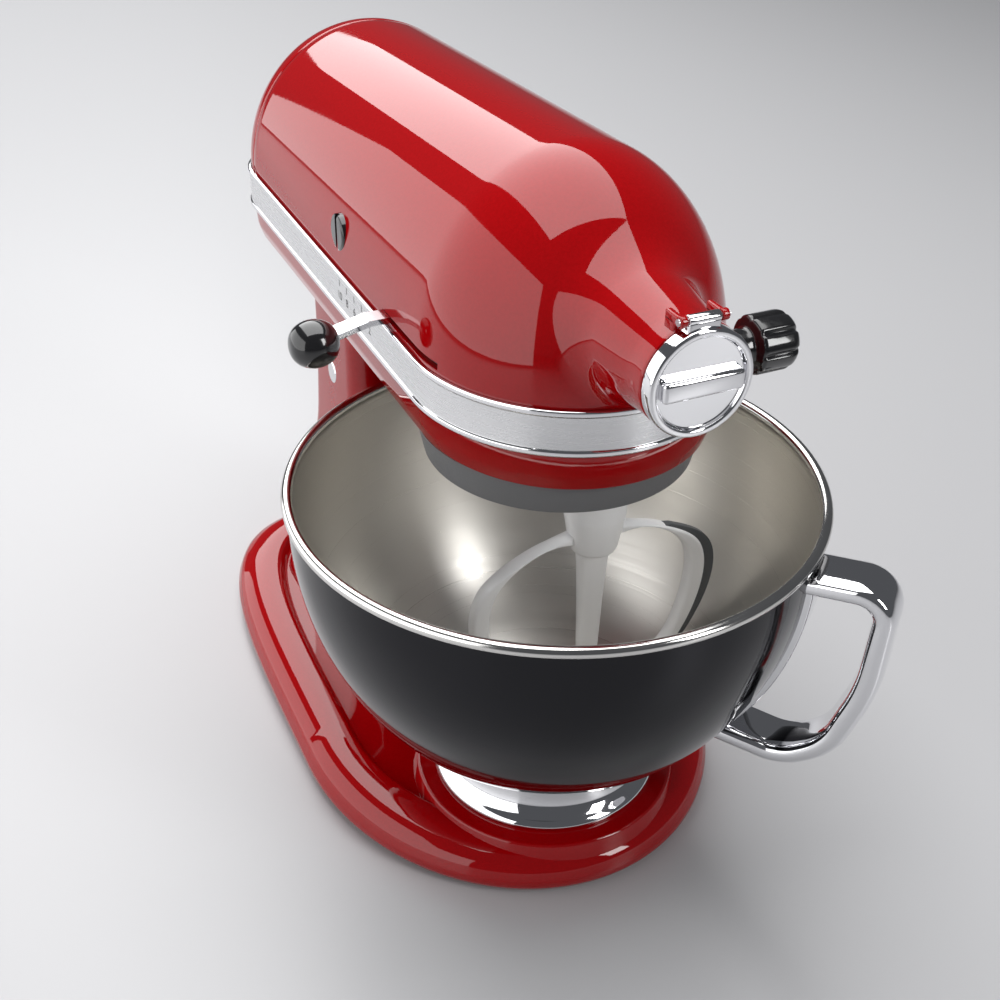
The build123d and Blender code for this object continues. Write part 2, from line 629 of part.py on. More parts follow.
def hub_drive_gear():
    apex = BEVEL_TEETH * BEVEL_MODULE / 2
    body = Pos(0, -apex, HUB_Z) * Rot(-90, 0, 0) * Rot(0, 0, 90 + 180 / HUB_TEETH) * bevel(HUB_TEETH, BEVEL_MODULE, apex)
    return body - rod_y(5 + SNUG, -60, 0, 0, HUB_Z)


# ---- hub ----------------------------------------------------------------------------------------
def hub_socket_sleeve():
    """Liner that an attachment's round shank slides into."""
    body = rod_y(HUB_BORE + 2.98, HUB_FACE, -54, 0, HUB_Z) - rod_y(HUB_BORE, -99, HUB_BORE_END, 0, HUB_Z)
    body -= rod_y(HUB_BORE + 0.4, HUB_BORE_END - 0.1, HUB_BORE_END + 0.5, 0, HUB_Z) + rod_y(9.6, -70, -58, 0, HUB_Z)
    body -= rod_y(5 + RUN, -70, -50, 0, HUB_Z)
    return body - rod_x(4.2, 0, 40, HUB_FACE + 12, HUB_Z)


HINGE_Y, HINGE_Z = HUB_FACE - 2.5, HUB_Z + HUB_R + 2.5


def hub_cap():
    """Hinged cover with a raised rim and a grip bar across it."""
    front = HUB_FACE - GAP
    disc = rod_y(HUB_R, front - 4, front, 0, HUB_Z)
    rim = rod_y(HUB_R, front - 6, front - 3, 0, HUB_Z) - rod_y(HUB_R - 3, front - 8, front, 0, HUB_Z)
    bar = block((-15.5, front - 8, HUB_Z - 4), (15.5, front - 3, HUB_Z + 4))
    lug = rod_x(2.6, -6, 6, HINGE_Y, HINGE_Z) + block((-6, HINGE_Y - 2, HUB_Z + 12), (6, HINGE_Y + 1.9, HINGE_Z))
    return disc + rim + bar + lug - rod_x(1.25 + RUN, -9, 9, HINGE_Y, HINGE_Z)


def hub_cap_hinge_pin():
    """Pin through the cap's lug, held by two ears on the boss."""
    pin = rod_x(1.25, -9.5, 9.5, HINGE_Y, HINGE_Z)
    return pin


def hub_hinge_ears():
    ears = []
    for side in (-1, 1):
        low, high = sorted((side * 6.3, side * 9.3))
        ear = rod_x(2.6, low, high, HINGE_Y, HINGE_Z)
        ear += block((low, HINGE_Y, HUB_Z + HUB_R + 0.5), (high, HUB_FACE + 8, HINGE_Z + 2))
        ear += block((low, HUB_FACE, HUB_Z + HUB_R - 2.5), (high, HUB_FACE + 8, HINGE_Z + 2))
        ears.append(ear - rod_x(1.25 + SNUG, -12, 12, HINGE_Y, HINGE_Z))
    return Compound(children=ears)


def hub_knob_screw():
    return rod_x(4, 16.2, 36, HUB_FACE + 12, HUB_Z)


def hub_knob():
    """Fluted knob that clamps an attachment in the hub."""
    y = HUB_FACE + 12
    body = rod_x(6.5, 22.5, 30, y, HUB_Z) + rod_x(10.5, 28, 45, y, HUB_Z)
    body = chamfer(body.edges().filter_by(GeomType.CIRCLE).sort_by(Axis.X)[-1], 3)
    for flute in range(8):
        cut = Pos(0, y, HUB_Z) * Rot(flute * 45, 0, 0) * rod_x(2.2, 27, 50, 11.3, 0)
        body -= cut
    return body - rod_x(4 + SNUG, 10, 36.5, y, HUB_Z)


# ---- speed lever --------------------------------------------------------------------------------
def speed_lever_strap():
    """Bar inside the head with a flat strap that comes out over the band."""
    low, high = LEVER_Z - 1.2, LEVER_Z + 1.2
    bar = block((-53, LEVER_Y - 4, low), (-47, 176, high))
    arm = block((-70, LEVER_Y - 4, low), (-47, LEVER_Y + 4, high))
    return bar + arm + lever_run(0)


def lever_run(grow):
    """Sloping end of the lever, which the grip is moulded on."""
    return Pos(-69, LEVER_Y, LEVER_Z) * Rot(0, -14, 0) * Pos(-9, 0, 0) * Box(19 + grow, 8 + grow, 2.4 + grow)


def speed_lever_knob():
    """Ball grip with slightly flattened ends."""
    ball = rod_x(9.4, -101, -81.5, LEVER_Y - 1, LEVER_Z - 5.5)
    ball = fillet(ball.edges().filter_by(GeomType.CIRCLE), 7.5)
    return ball - lever_run(0.1)


# ---- lock ---------------------------------------------------------------------------------------
def lock_bolt():
    return rod_x(LOCK_R, POCKET_RIGHT + 0.2, 55, LOCK_Y, LOCK_Z)


def lock_knob():
    low = NECK_HALF + LOCK_TRAVEL + 0.8
    knob = rod_x(7.5, low, low + 9, LOCK_Y, LOCK_Z)
    knob = fillet(knob.edges().filter_by(GeomType.CIRCLE), 1.5)
    return knob - rod_x(LOCK_R + SNUG, low - 1, 55, LOCK_Y, LOCK_Z)


# ---- beater -------------------------------------------------------------------------------------
def beater_outline(grow):
    """Leaf-shaped outline of the flat beater, in the XZ plane about the spindle."""
    half, low, high, foot = 58 + grow, 54 - grow, 150 + grow, 22 + grow * 0.6
    right = [(foot, low), (half * 0.80, 74), (half, 104), (half * 0.93, 128), (half * 0.52, 143), (0, high)]
    left = [(-x, z) for x, z in right[-2::-1]]
    return make_face([Spline(*(right + left)), Line((-foot, low), (foot, low))])


def beater_frame():
    plane = Plane(origin=(OFFSET, 3.5, 0), x_dir=(1, 0, 0), z_dir=(0, -1, 0))
    rim = beater_outline(0) - beater_outline(-9)
    body = extrude(plane * rim, 7)
    stem = loft([Pos(OFFSET, 0, z) * Rectangle(w, t) for z, w, t in ((60, 9, 6), (110, 12, 7), (148, 16, 12))])
    hub = turned([(0, 138), (11, 138), (14, 158), (14.5, 186), (0, 186)])
    body += stem + Pos(OFFSET, 0, 0) * hub
    body -= rod_z(6.35 + SNUG, 158 - SNUG, 200, OFFSET)
    return body - rod_y(2.02, -20, 20, OFFSET, 172)


def beater_pin():
    """Cross pin in the spindle that the beater's hub hooks on."""
    return rod_y(2, -13.5, 13.5, OFFSET, 172)


def flex_edge():
    """Soft wiper along the beater's right-hand side and top corner."""
    plane = Plane(origin=(OFFSET, 2.2, 0), x_dir=(1, 0, 0), z_dir=(0, -1, 0))
    strip = beater_outline(5) - beater_outline(0.05)
    keep = Pos(OFFSET + 50, 0, 100) * Box(76, 40, 84)
    return extrude(plane * strip, 4.4) & keep


NODES = {
    "base_casting": base_casting, "rubber_feet": rubber_feet, "pedestal_column": pedestal_column,
    "pedestal_bolts": pedestal_bolts, "hinge_pin": hinge_pin, "hinge_set_screw": hinge_set_screw,
    "height_adjust_screw": height_adjust_screw, "bowl_clamp_plate": bowl_clamp_plate,
    "clamp_plate_screws": clamp_plate_screws, "bowl_shell": bowl_shell, "bowl_foot_ring": bowl_foot_ring,
    "bowl_handle": bowl_handle, "upper_housing": upper_housing, "rear_cover": rear_cover,
    "rear_cover_screw": rear_cover_screw, "lower_housing": lower_housing, "trim_band": trim_band,
    "drip_ring": drip_ring, "ring_gear": ring_gear, "cord_inlet": cord_inlet,
    "brush_cap_left": lambda: brush_cap(-1), "brush_cap_right": lambda: brush_cap(1),
    "brush_holders": brush_holders, "carbon_brushes": carbon_brushes, "brush_springs": brush_springs,
    "field_core": field_core, "field_windings": field_windings,
    "front_bearing_bracket": lambda: bearing_bracket(67, 71, 10.02),
    "rear_bearing_bracket": lambda: bearing_bracket(187, 191, 10.02), "motor_bearings": motor_bearings,
    "speed_control_plate": speed_control_plate, "armature_shaft": armature_shaft,
    "armature_core": armature_core, "armature_windings": armature_windings, "commutator": commutator,
    "motor_fan": motor_fan, "worm": worm, "worm_wheel": worm_wheel, "countershaft": countershaft,
    "shaft_bushes": shaft_bushes, "drive_pinion": drive_pinion, "center_gear": center_gear,
    "center_shaft": center_shaft, "planetary_disc": planetary_disc,
    "beater_shaft": beater_shaft, "planet_pinion": planet_pinion, "beater_pin": beater_pin,
    "beater_frame": beater_frame, "flex_edge": flex_edge, "hub_drive_shaft": hub_drive_shaft,
    "hub_drive_gear": hub_drive_gear, "hub_socket_sleeve": hub_socket_sleeve, "hub_cap": hub_cap,
    "hub_cap_hinge_pin": hub_cap_hinge_pin, "hub_knob": hub_knob, "hub_knob_screw": hub_knob_screw,
    "speed_lever_strap": speed_lever_strap, "speed_lever_knob": speed_lever_knob,
    "lock_bolt": lock_bolt, "lock_knob": lock_knob,
}

if __name__ == "__main__":
    for node, make in NODES.items():
        save(node, make())
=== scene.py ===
"""A red tilt-head stand mixer on a pale floor, in soft studio light."""
import json
from math import asin, ceil, cos, pi, radians, sin, sqrt, tan

import bmesh
import bpy
import numpy as np
from mathutils import Matrix, Vector


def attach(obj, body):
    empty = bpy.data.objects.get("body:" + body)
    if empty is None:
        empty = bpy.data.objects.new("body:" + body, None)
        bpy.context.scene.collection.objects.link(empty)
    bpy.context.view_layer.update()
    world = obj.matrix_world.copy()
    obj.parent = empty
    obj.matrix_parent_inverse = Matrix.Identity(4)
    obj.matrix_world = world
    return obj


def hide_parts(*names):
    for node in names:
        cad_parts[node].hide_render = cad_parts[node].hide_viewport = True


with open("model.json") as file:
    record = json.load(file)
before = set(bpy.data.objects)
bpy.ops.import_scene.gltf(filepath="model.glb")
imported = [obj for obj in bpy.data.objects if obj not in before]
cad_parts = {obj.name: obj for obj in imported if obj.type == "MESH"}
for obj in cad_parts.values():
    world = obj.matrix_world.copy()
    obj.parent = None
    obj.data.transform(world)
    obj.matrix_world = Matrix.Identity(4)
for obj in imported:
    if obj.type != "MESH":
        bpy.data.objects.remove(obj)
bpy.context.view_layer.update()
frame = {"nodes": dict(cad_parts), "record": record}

MM = 0.001

# the foot
BASE_HALF, BASE_MID_Y, BASE_FRONT, BASE_REAR = 101.0, 54.0, 120.0, 205.0
WELL_Z, SEAT_R, SEAT_Z = 17.0, 60.0, 25.0
PIVOT_Y, PIVOT_Z, TILT_ROUND = 157.0, 160.0, 49.0

# the bowl
RIM_Z, RIM_ROLL, RIM_R = 179.0, 2.4, 110.82
BELLY_R, BELLY_Z, BOWL_DEPTH, BOWL_FLOOR, BOWL_WALL = 111.0, 166.0, 128.0, 40.0, 1.6
HANDLE_ANGLE = radians(-50)

# the head
HEAD_HALF, NOSE, REAR_ROUND, COVER_Y = 61.5, 65.0, 34.0, 212.0
UNDER_Z, BAND_LOW, BAND_TOP = 211.0, 228.0, 247.0
CROWN, CROWN_REAR = 75.0, 66.0
HUB_Z, HUB_FACE, HUB_R = 271.0, -92.0, 19.8
HINGE_X, HINGE_Y, HINGE_Z = 7.7, HUB_FACE - 2.5, HUB_Z + 22.3
LEVER_Y, LEVER_Z = 30.0, 250.0
BRUSH_Y, MOTOR_Z = 88.0, 262.0
BEATER_X = 19.5


# ---- materials ----------------------------------------------------------------------------------
def shader(name, color, metallic=0.0, roughness=0.4, coat=0.0, coat_roughness=0.03, specular=0.5):
    """A new material and its Principled shader."""
    material = bpy.data.materials.new(name)
    material.use_nodes = True
    principled = material.node_tree.nodes["Principled BSDF"]
    principled.inputs["Base Color"].default_value = (*color, 1)
    principled.inputs["Metallic"].default_value = metallic
    principled.inputs["Roughness"].default_value = roughness
    principled.inputs["Coat Weight"].default_value = coat
    principled.inputs["Coat Roughness"].default_value = coat_roughness
    principled.inputs["Specular IOR Level"].default_value = specular
    return material, principled


def noise(tree, scale, detail=3.0, stretch=(1, 1, 1), rings=False):
    """Noise in the object's own metres. Rings runs it round the Z axis, as on a turned part."""
    place = tree.nodes.new("ShaderNodeTexCoord").outputs["Object"]
    if rings:
        parts = tree.nodes.new("ShaderNodeSeparateXYZ")
        tree.links.new(place, parts.inputs[0])
        flat = tree.nodes.new("ShaderNodeCombineXYZ")
        tree.links.new(parts.outputs["X"], flat.inputs["X"])
        tree.links.new(parts.outputs["Y"], flat.inputs["Y"])
        reach = tree.nodes.new("ShaderNodeVectorMath")
        reach.operation = "LENGTH"
        tree.links.new(flat.outputs[0], reach.inputs[0])
        joined = tree.nodes.new("ShaderNodeCombineXYZ")
        tree.links.new(reach.outputs["Value"], joined.inputs["X"])
        tree.links.new(parts.outputs["Z"], joined.inputs["Z"])
        place = joined.outputs[0]
    mapping = tree.nodes.new("ShaderNodeMapping")
    mapping.inputs["Scale"].default_value = stretch
    tree.links.new(place, mapping.inputs["Vector"])
    texture = tree.nodes.new("ShaderNodeTexNoise")
    texture.inputs["Scale"].default_value = scale
    texture.inputs["Detail"].default_value = detail
    tree.links.new(mapping.outputs[0], texture.inputs["Vector"])
    return texture.outputs["Fac"]


def vary(material, principled, socket, source, low, high):
    """Runs a socket between two values with a texture."""
    tree = material.node_tree
    spread = tree.nodes.new("ShaderNodeMapRange")
    spread.inputs["From Min"].default_value = 0.3
    spread.inputs["From Max"].default_value = 0.7
    spread.inputs["To Min"].default_value = low
    spread.inputs["To Max"].default_value = high
    tree.links.new(source, spread.inputs["Value"])
    tree.links.new(spread.outputs[0], principled.inputs[socket])


def tint(material, principled, source, first, second):
    """Blends the base color between two with a texture."""
    tree = material.node_tree
    ramp = tree.nodes.new("ShaderNodeValToRGB")
    ramp.color_ramp.elements[0].position, ramp.color_ramp.elements[1].position = 0.35, 0.65
    ramp.color_ramp.elements[0].color, ramp.color_ramp.elements[1].color = (*first, 1), (*second, 1)
    tree.links.new(source, ramp.inputs["Fac"])
    tree.links.new(ramp.outputs["Color"], principled.inputs["Base Color"])


def relief(material, principled, source, depth, socket="Normal"):
    """Bump of a real depth in metres."""
    tree = material.node_tree
    bump = tree.nodes.new("ShaderNodeBump")
    bump.inputs["Strength"].default_value = 1.0
    bump.inputs["Distance"].default_value = depth
    tree.links.new(source, bump.inputs["Height"])
    tree.links.new(bump.outputs[0], principled.inputs[socket])


def enamel():
    material, principled = shader("red_enamel", (0.30, 0.0003, 0.0015), 0.0, 0.4, 1.0, 0.025, 0.0)
    tree = material.node_tree
    tint(material, principled, noise(tree, 900, 2), (0.285, 0.0002, 0.0012), (0.315, 0.0004, 0.0018))
    vary(material, principled, "Coat Roughness", noise(tree, 25, 4), 0.015, 0.045)
    relief(material, principled, noise(tree, 260, 2), 0.000004, "Coat Normal")
    return material


def dark_mirror():
    material, principled = shader("dark_mirror_steel", (0.028, 0.028, 0.031), 1.0, 0.07)
    vary(material, principled, "Roughness", noise(material.node_tree, 30, 5), 0.045, 0.10)
    relief(material, principled, noise(material.node_tree, 1500, 2, rings=True), 0.0000015)
    return material


def brushed(name, color, low, high, scale=2200, rings=True, stretch=(1, 1, 1), depth=0.000004):
    """Steel with fine lines left by a brush or a lathe."""
    material, principled = shader(name, color, 1.0, 0.3)
    lines = noise(material.node_tree, scale, 3, stretch, rings)
    vary(material, principled, "Roughness", lines, low, high)
    relief(material, principled, lines, depth)
    return material


def polished(name, color, low=0.03, high=0.07):
    """Plated or polished metal with a trace of handling."""
    material, principled = shader(name, color, 1.0, low)
    vary(material, principled, "Roughness", noise(material.node_tree, 60, 5), low, high)
    return material


def moulded(name, color, low, high, scale=1200, depth=0.00002, coat=0.0):
    """Plastic or rubber with a fine mould grain."""
    material, principled = shader(name, color, 0.0, low, coat, 0.05)
    grain = noise(material.node_tree, scale, 3)
    vary(material, principled, "Roughness", grain, low, high)
    relief(material, principled, grain, depth)
    return material


def layered(name, first, second, metallic, low, high, pitch):
    """Stacked or wound material: thin bands along Y, as laminations or wire."""
    material, principled = shader(name, first, metallic, low)
    tree = material.node_tree
    bands = noise(tree, 1.0, 1, (60, pitch, 60))
    tint(material, principled, bands, first, second)
    vary(material, principled, "Roughness", bands, low, high)
    relief(material, principled, bands, 0.00008)
    return material


SLOTS = {
    "red_paint": enamel(),
    "dark_steel": dark_mirror(),
    "chrome": polished("polished_chrome", (0.80, 0.80, 0.82)),
    "satin_metal": moulded("satin_grey", (0.16, 0.162, 0.168), 0.34, 0.44, 900, 0.000006),
    "band_metal": brushed("satin_band", (0.74, 0.74, 0.75), 0.22, 0.34, 900, False, (0.05, 0.05, 1.0),
                          0.000006),
    "steel": brushed("machined_steel", (0.56, 0.56, 0.58), 0.22, 0.38, 1400, False),
    "black_plastic": moulded("gloss_black", (0.010, 0.010, 0.011), 0.10, 0.16, 300, 0.000004, 0.6),
    "black_rubber": moulded("black_rubber", (0.018, 0.018, 0.018), 0.55, 0.75),
    "white_coat": moulded("white_coating", (0.88, 0.885, 0.89), 0.28, 0.38, 500, 0.00001, 0.3),
    "grey_silicone": moulded("grey_silicone", (0.07, 0.075, 0.08), 0.45, 0.6),
    "lamination": layered("laminations", (0.10, 0.10, 0.105), (0.22, 0.22, 0.23), 0.8, 0.35, 0.55, 2500),
    "copper": layered("winding_wire", (0.40, 0.15, 0.05), (0.62, 0.27, 0.11), 0.9, 0.22, 0.4, 1500),
    "bronze": brushed("gear_bronze", (0.55, 0.34, 0.13), 0.25, 0.4, 1200, False),
    "carbon": moulded("carbon", (0.03, 0.03, 0.032), 0.45, 0.65),
    "fan_plastic": moulded("pale_plastic", (0.70, 0.68, 0.62), 0.4, 0.55),
    "cast_metal": brushed("die_cast", (0.50, 0.50, 0.51), 0.42, 0.6, 500, False, (1, 1, 1), 0.00003),
}
BOWL_INSIDE = brushed("brushed_bowl", (0.70, 0.68, 0.64), 0.26, 0.40, 2600)
BRIGHT_RIM = polished("bright_rim", (0.72, 0.71, 0.69), 0.08, 0.16)
# near-black colour of the sheet behind the lever's slot: painted shade for the inside of the slot
SLOT_PAINTED_SHADE = moulded("slot_painted_shade", (0.004, 0.004, 0.004), 0.5, 0.7)
MARKING = moulded("marking", (0.03, 0.03, 0.032), 0.4, 0.5)


# ---- mesh helpers -------------------------------------------------------------------------------
def piece(name, mesh, materials, body, slot, *nodes, sharp=32):
    """Puts a mesh in the scene as a piece of a body that stands for CAD nodes."""
    thing = bpy.data.objects.new(name, mesh)
    bpy.context.scene.collection.objects.link(thing)
    for material in materials:
        mesh.materials.append(material)
    for face in mesh.polygons:
        face.use_smooth = True
    mesh.set_sharp_from_angle(angle=radians(sharp))
    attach(thing, body)
    if nodes:
        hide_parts(*nodes)
    return thing


def new_mesh(name, points, faces):
    mesh = bpy.data.meshes.new(name)
    mesh.from_pydata([tuple(p) for p in np.asarray(points, float) * MM], [], faces)
    work = bmesh.new()
    work.from_mesh(mesh)
    bmesh.ops.recalc_face_normals(work, faces=work.faces)
    work.to_mesh(mesh)
    work.free()
    return mesh


def skin(rows, around=True, cap_first=False, cap_last=False, loop=False):
    """Points and faces of a surface through rows of points.

    Around joins the two ends of each row. Loop joins the last row to the first.
    """
    rows = np.asarray(rows, float)
    count, width = rows.shape[:2]
    faces = []
    for i in range(count if loop else count - 1):
        for j in range(width if around else width - 1):
            this_row, next_row, beside = i * width, (i + 1) % count * width, (j + 1) % width
            faces.append((this_row + j, this_row + beside, next_row + beside, next_row + j))
    if cap_first:
        faces.append(tuple(range(width)))
    if cap_last:
        faces.append(tuple((count - 1) * width + j for j in range(width)))
    return rows.reshape(-1, 3), faces


def rounded(points, radius, steps=6, closed=False):
    """The same path with its corners rounded: points are 2-D, radius is one for all or a list."""
    points = [np.array(p, float) for p in points]
    count = len(points)
    radii = [radius] * count if isinstance(radius, (int, float)) else list(radius)
    out = []
    for i, corner in enumerate(points):
        if not closed and i in (0, count - 1):
            out.append(corner)
            continue
        before, after = points[i - 1] - corner, points[(i + 1) % count] - corner
        long_before, long_after = np.linalg.norm(before), np.linalg.norm(after)
        before, after = before / long_before, after / long_after
        half = np.arccos(np.clip(before @ after, -1, 1)) / 2
        if half > radians(88) or radii[i] <= 0:
            out.append(corner)
            continue
        back = min(radii[i] / tan(half), 0.49 * long_before, 0.49 * long_after)
        curve = back * tan(half)
        middle = corner + (before + after) / np.linalg.norm(before + after) * curve / sin(half)
        start, end = corner + before * back - middle, corner + after * back - middle
        for step in range(steps + 1):
            t = step / steps
            turn = pi - 2 * half
            arm = (sin((1 - t) * turn) * start + sin(t * turn) * end) / sin(turn)
            out.append(middle + arm)
    return out


def smooth_path(points, steps=8):
    """Curve through 2-D points, by Catmull and Rom."""
    points = [np.array(p, float) for p in points]
    points = [2 * points[0] - points[1]] + points + [2 * points[-1] - points[-2]]
    out = []
    for a, b, c, d in zip(points, points[1:], points[2:], points[3:]):
        for step in range(steps):
            t = step / steps
            bend, twist = 2 * a - 5 * b + 4 * c - d, 3 * b - a - 3 * c + d
            out.append(0.5 * (2 * b + (c - a) * t + bend * t**2 + twist * t**3))
    return out + [points[-2]]


def turned(profile, centre=(0, 0, 0), axis="Z", steps=192, closed=False):
    """Surface of revolution from (radius, height) points, round an axis through centre."""
    rows = []
    for radius, height in profile:
        turns = [2 * pi * i / steps for i in range(steps)]
        if axis == "Z":
            row = [(radius * cos(a), radius * sin(a), height) for a in turns]
        elif axis == "Y":
            row = [(radius * cos(a), height, radius * sin(a)) for a in turns]
        else:
            row = [(height, radius * cos(a), radius * sin(a)) for a in turns]
        rows.append(np.array(row) + np.array(centre))
    return skin(rows, loop=closed)


def joined(*shapes):
    """Several point and face lists as one."""
    points, faces = [], []
    for shape_points, shape_faces in shapes:
        start = len(points)
        points += [tuple(p) for p in shape_points]
        faces += [tuple(i + start for i in face) for face in shape_faces]
    return np.array(points), faces


def solid_box(low, high, bevel=0.8, segments=4):
    """Box with rounded edges, as points and faces."""
    work = bmesh.new()
    bmesh.ops.create_cube(work, size=1.0)
    for vertex in work.verts:
        vertex.co = [start + (c + 0.5) * (end - start) for c, start, end in zip(vertex.co, low, high)]
    bmesh.ops.bevel(work, geom=work.edges[:], offset=bevel, segments=segments, profile=0.5, affect="EDGES")
    work.verts.index_update()
    result = np.array([v.co[:] for v in work.verts]), [tuple(v.index for v in f.verts) for f in work.faces]
    work.free()
    return result


def cut_away(mesh, tools, operation="DIFFERENCE"):
    """The mesh after a boolean with each tool mesh."""
    target = bpy.data.objects.new("cut_target", mesh)
    bpy.context.scene.collection.objects.link(target)
    cutters = []
    for tool in tools:
        cutter = bpy.data.objects.new("cut_tool", tool)
        bpy.context.scene.collection.objects.link(cutter)
        cutters.append(cutter)
        modifier = target.modifiers.new("cut", "BOOLEAN")
        modifier.operation, modifier.object, modifier.solver = operation, cutter, "EXACT"
    bpy.context.view_layer.update()
    graph = bpy.context.evaluated_depsgraph_get()
    result = bpy.data.meshes.new_from_object(target.evaluated_get(graph))
    for thing in [target] + cutters:
        bpy.data.objects.remove(thing)
    return result


# ---- foot ---------------------------------------------------------------------------------------
def foot_turns(count=320):
    """Parameters that space points evenly round the foot's outline."""
    fine = np.linspace(0, 4, 8001)[:-1]
    points = np.array([foot_point(t, 10) for t in fine])
    steps = np.linalg.norm(np.diff(np.vstack([points, points[:1]]), axis=0), axis=1)
    run = np.concatenate([[0], np.cumsum(steps)])
    return np.interp(np.linspace(0, run[-1], count + 1)[:-1], run[:-1], fine)


def foot_point(turn, inset):
    """Point on the foot's egg-shaped outline: turns 0 to 2 run round the front, 2 to 4 round the rear."""
    half, front, rear = BASE_HALF - inset, BASE_FRONT - inset, BASE_REAR - inset
    if turn <= 2:
        angle = (turn - 1) * pi / 2
        return half * sin(angle), BASE_MID_Y - front * cos(angle)
    angle = (3 - turn) * pi / 2
    side = 1 if angle > 0 else -1
    return side * half * abs(sin(angle)) ** 0.5, BASE_MID_Y + rear * max(cos(angle), 0.0) ** 0.5


def make_foot():
    profile = rounded([(9.5, 9.5), (9.5, 3), (2.2, 3), (0.2, 6.2), (0.2, 9.5), (2.4, 15.5), (8, 20),
                       (15, 22.2), (22.6, 22.2), (25.4, WELL_Z), (34, WELL_Z)],
                      [0, 1, 1.2, 5, 6, 9, 14, 30, 2.6, 1.6, 0], 7)
    turns = foot_turns()
    rows = [[(*foot_point(t, inset), z) for t in turns] for inset, z in profile]
    body = skin(rows, cap_first=True, cap_last=True)
    seat = turned(rounded([(0, 12), (SEAT_R + 2, 12), (SEAT_R + 2, WELL_Z), (SEAT_R, SEAT_Z), (0, SEAT_Z)],
                          [0, 0, 2, 1.6, 0]), steps=256)
    mesh = new_mesh("foot", *joined(body, seat))
    piece("foot", mesh, [SLOTS["red_paint"]], "base", "red_paint", "base_casting", sharp=40)


def neck_outline(half, front, rear, corner, z, steps=14):
    """Rounded rectangle in plan."""
    points = []
    for x, y, start in ((half - corner, rear - corner, 0), (corner - half, rear - corner, 90),
                        (corner - half, front + corner, 180), (half - corner, front + corner, 270)):
        for step in range(steps + 1):
            angle = radians(start + 90 * step / steps)
            points.append((x + corner * cos(angle), y + corner * sin(angle), z))
    return points


def make_pedestal():
    heights = [10, 17, 32, 75, 125, 165, 209]
    halves = [61.5, 60, 57, 51, 46, 44.5, 44.5]
    fronts = [89, 92, 98, 111, 121, 125, 125]
    rears = [229, 226, 220, 206, 194, 190, 190]
    corners = [31, 30, 27, 21, 15, 12, 12]
    rows = []
    for z in np.linspace(10, 209, 70):
        half, front, rear, corner = [float(np.interp(z, heights, values))
                                     for values in (halves, fronts, rears, corners)]
        flare = 5.0 * max(0.0, 1 - (z - WELL_Z) / 14) ** 2 if z > WELL_Z else 5.0
        rows.append(neck_outline(half + flare, front - flare, rear + flare * 0.4, corner + flare, z))
    rows = np.array(rows)
    weights = np.array([1, 2, 3, 2, 1]) / 9
    soft = np.array([sum(weight * rows[np.clip(i + shift, 0, len(rows) - 1)]
                         for shift, weight in zip(range(-2, 3), weights)) for i in range(len(rows))])
    soft[-1] = rows[-1]
    column = new_mesh("pedestal", *skin(soft, cap_first=True, cap_last=True))
    turns = [radians(a) for a in range(0, 91, 3)]
    arc = [(PIVOT_Y + TILT_ROUND * sin(a), PIVOT_Z + TILT_ROUND * cos(a)) for a in turns]
    side = [(60, -5), (60, 209)] + arc + [(206, 158), (260, 150), (260, -5)]
    sides = [[(x, y, z) for y, z in side] for x in (-99, 99)]
    keep = new_mesh("keep", *skin(sides, cap_first=True, cap_last=True))
    mesh = cut_away(column, [keep], "INTERSECT")
    pocket = new_mesh("pocket", *solid_box((-24, 131, 140), (38, 186, 240), 2))
    rear_open = new_mesh("rear_open", *solid_box((-24, 131, 162), (24, 240, 240), 2))
    mesh = cut_away(mesh, [pocket, rear_open])
    piece("pedestal", mesh, [SLOTS["red_paint"]], "base", "red_paint", "pedestal_column", sharp=40)


# ---- bowl ---------------------------------------------------------------------------------------
def bowl_radius(z, offset=0.0):
    if z >= BELLY_Z:
        return BELLY_R + offset
    return (BELLY_R + offset) * sqrt(max(0.0, 1 - ((BELLY_Z - z) / (BOWL_DEPTH + offset)) ** 2))


def bowl_side(offset, count=64):
    """The bowl's wall from the edge of its flat floor to the belly."""
    start = asin((BELLY_Z - BOWL_FLOOR) / BOWL_DEPTH)
    turns = [start * (1 - i / count) for i in range(count + 1)]
    return [((BELLY_R + offset) * cos(a), BELLY_Z - (BOWL_DEPTH + offset) * sin(a)) for a in turns]


def make_bowl():
    steps = 288
    top = RIM_Z - RIM_ROLL
    turns = [radians(a) for a in range(-75, 226, 15)]
    outside = [(0, BOWL_FLOOR)] + bowl_side(0) + [(BELLY_R, z) for z in (169, 172, 174.5)]
    roll = [(RIM_R + RIM_ROLL * cos(a), top + RIM_ROLL * sin(a)) for a in turns]
    inside = [(BELLY_R - BOWL_WALL, z) for z in (173.5, 170)] + bowl_side(-BOWL_WALL)[::-1]
    inside.append((0, inside[-1][1]))
    mesh = new_mesh("bowl", *turned(outside + roll + inside, steps=steps))
    bands = [0] * (len(outside) - 1) + [1] * len(roll) + [2] * len(inside)
    for index, face in enumerate(mesh.polygons):
        face.material_index = bands[index // steps]
    materials = [SLOTS["dark_steel"], BRIGHT_RIM, BOWL_INSIDE]
    piece("bowl", mesh, materials, "bowl", "dark_steel", "bowl_shell", sharp=60)


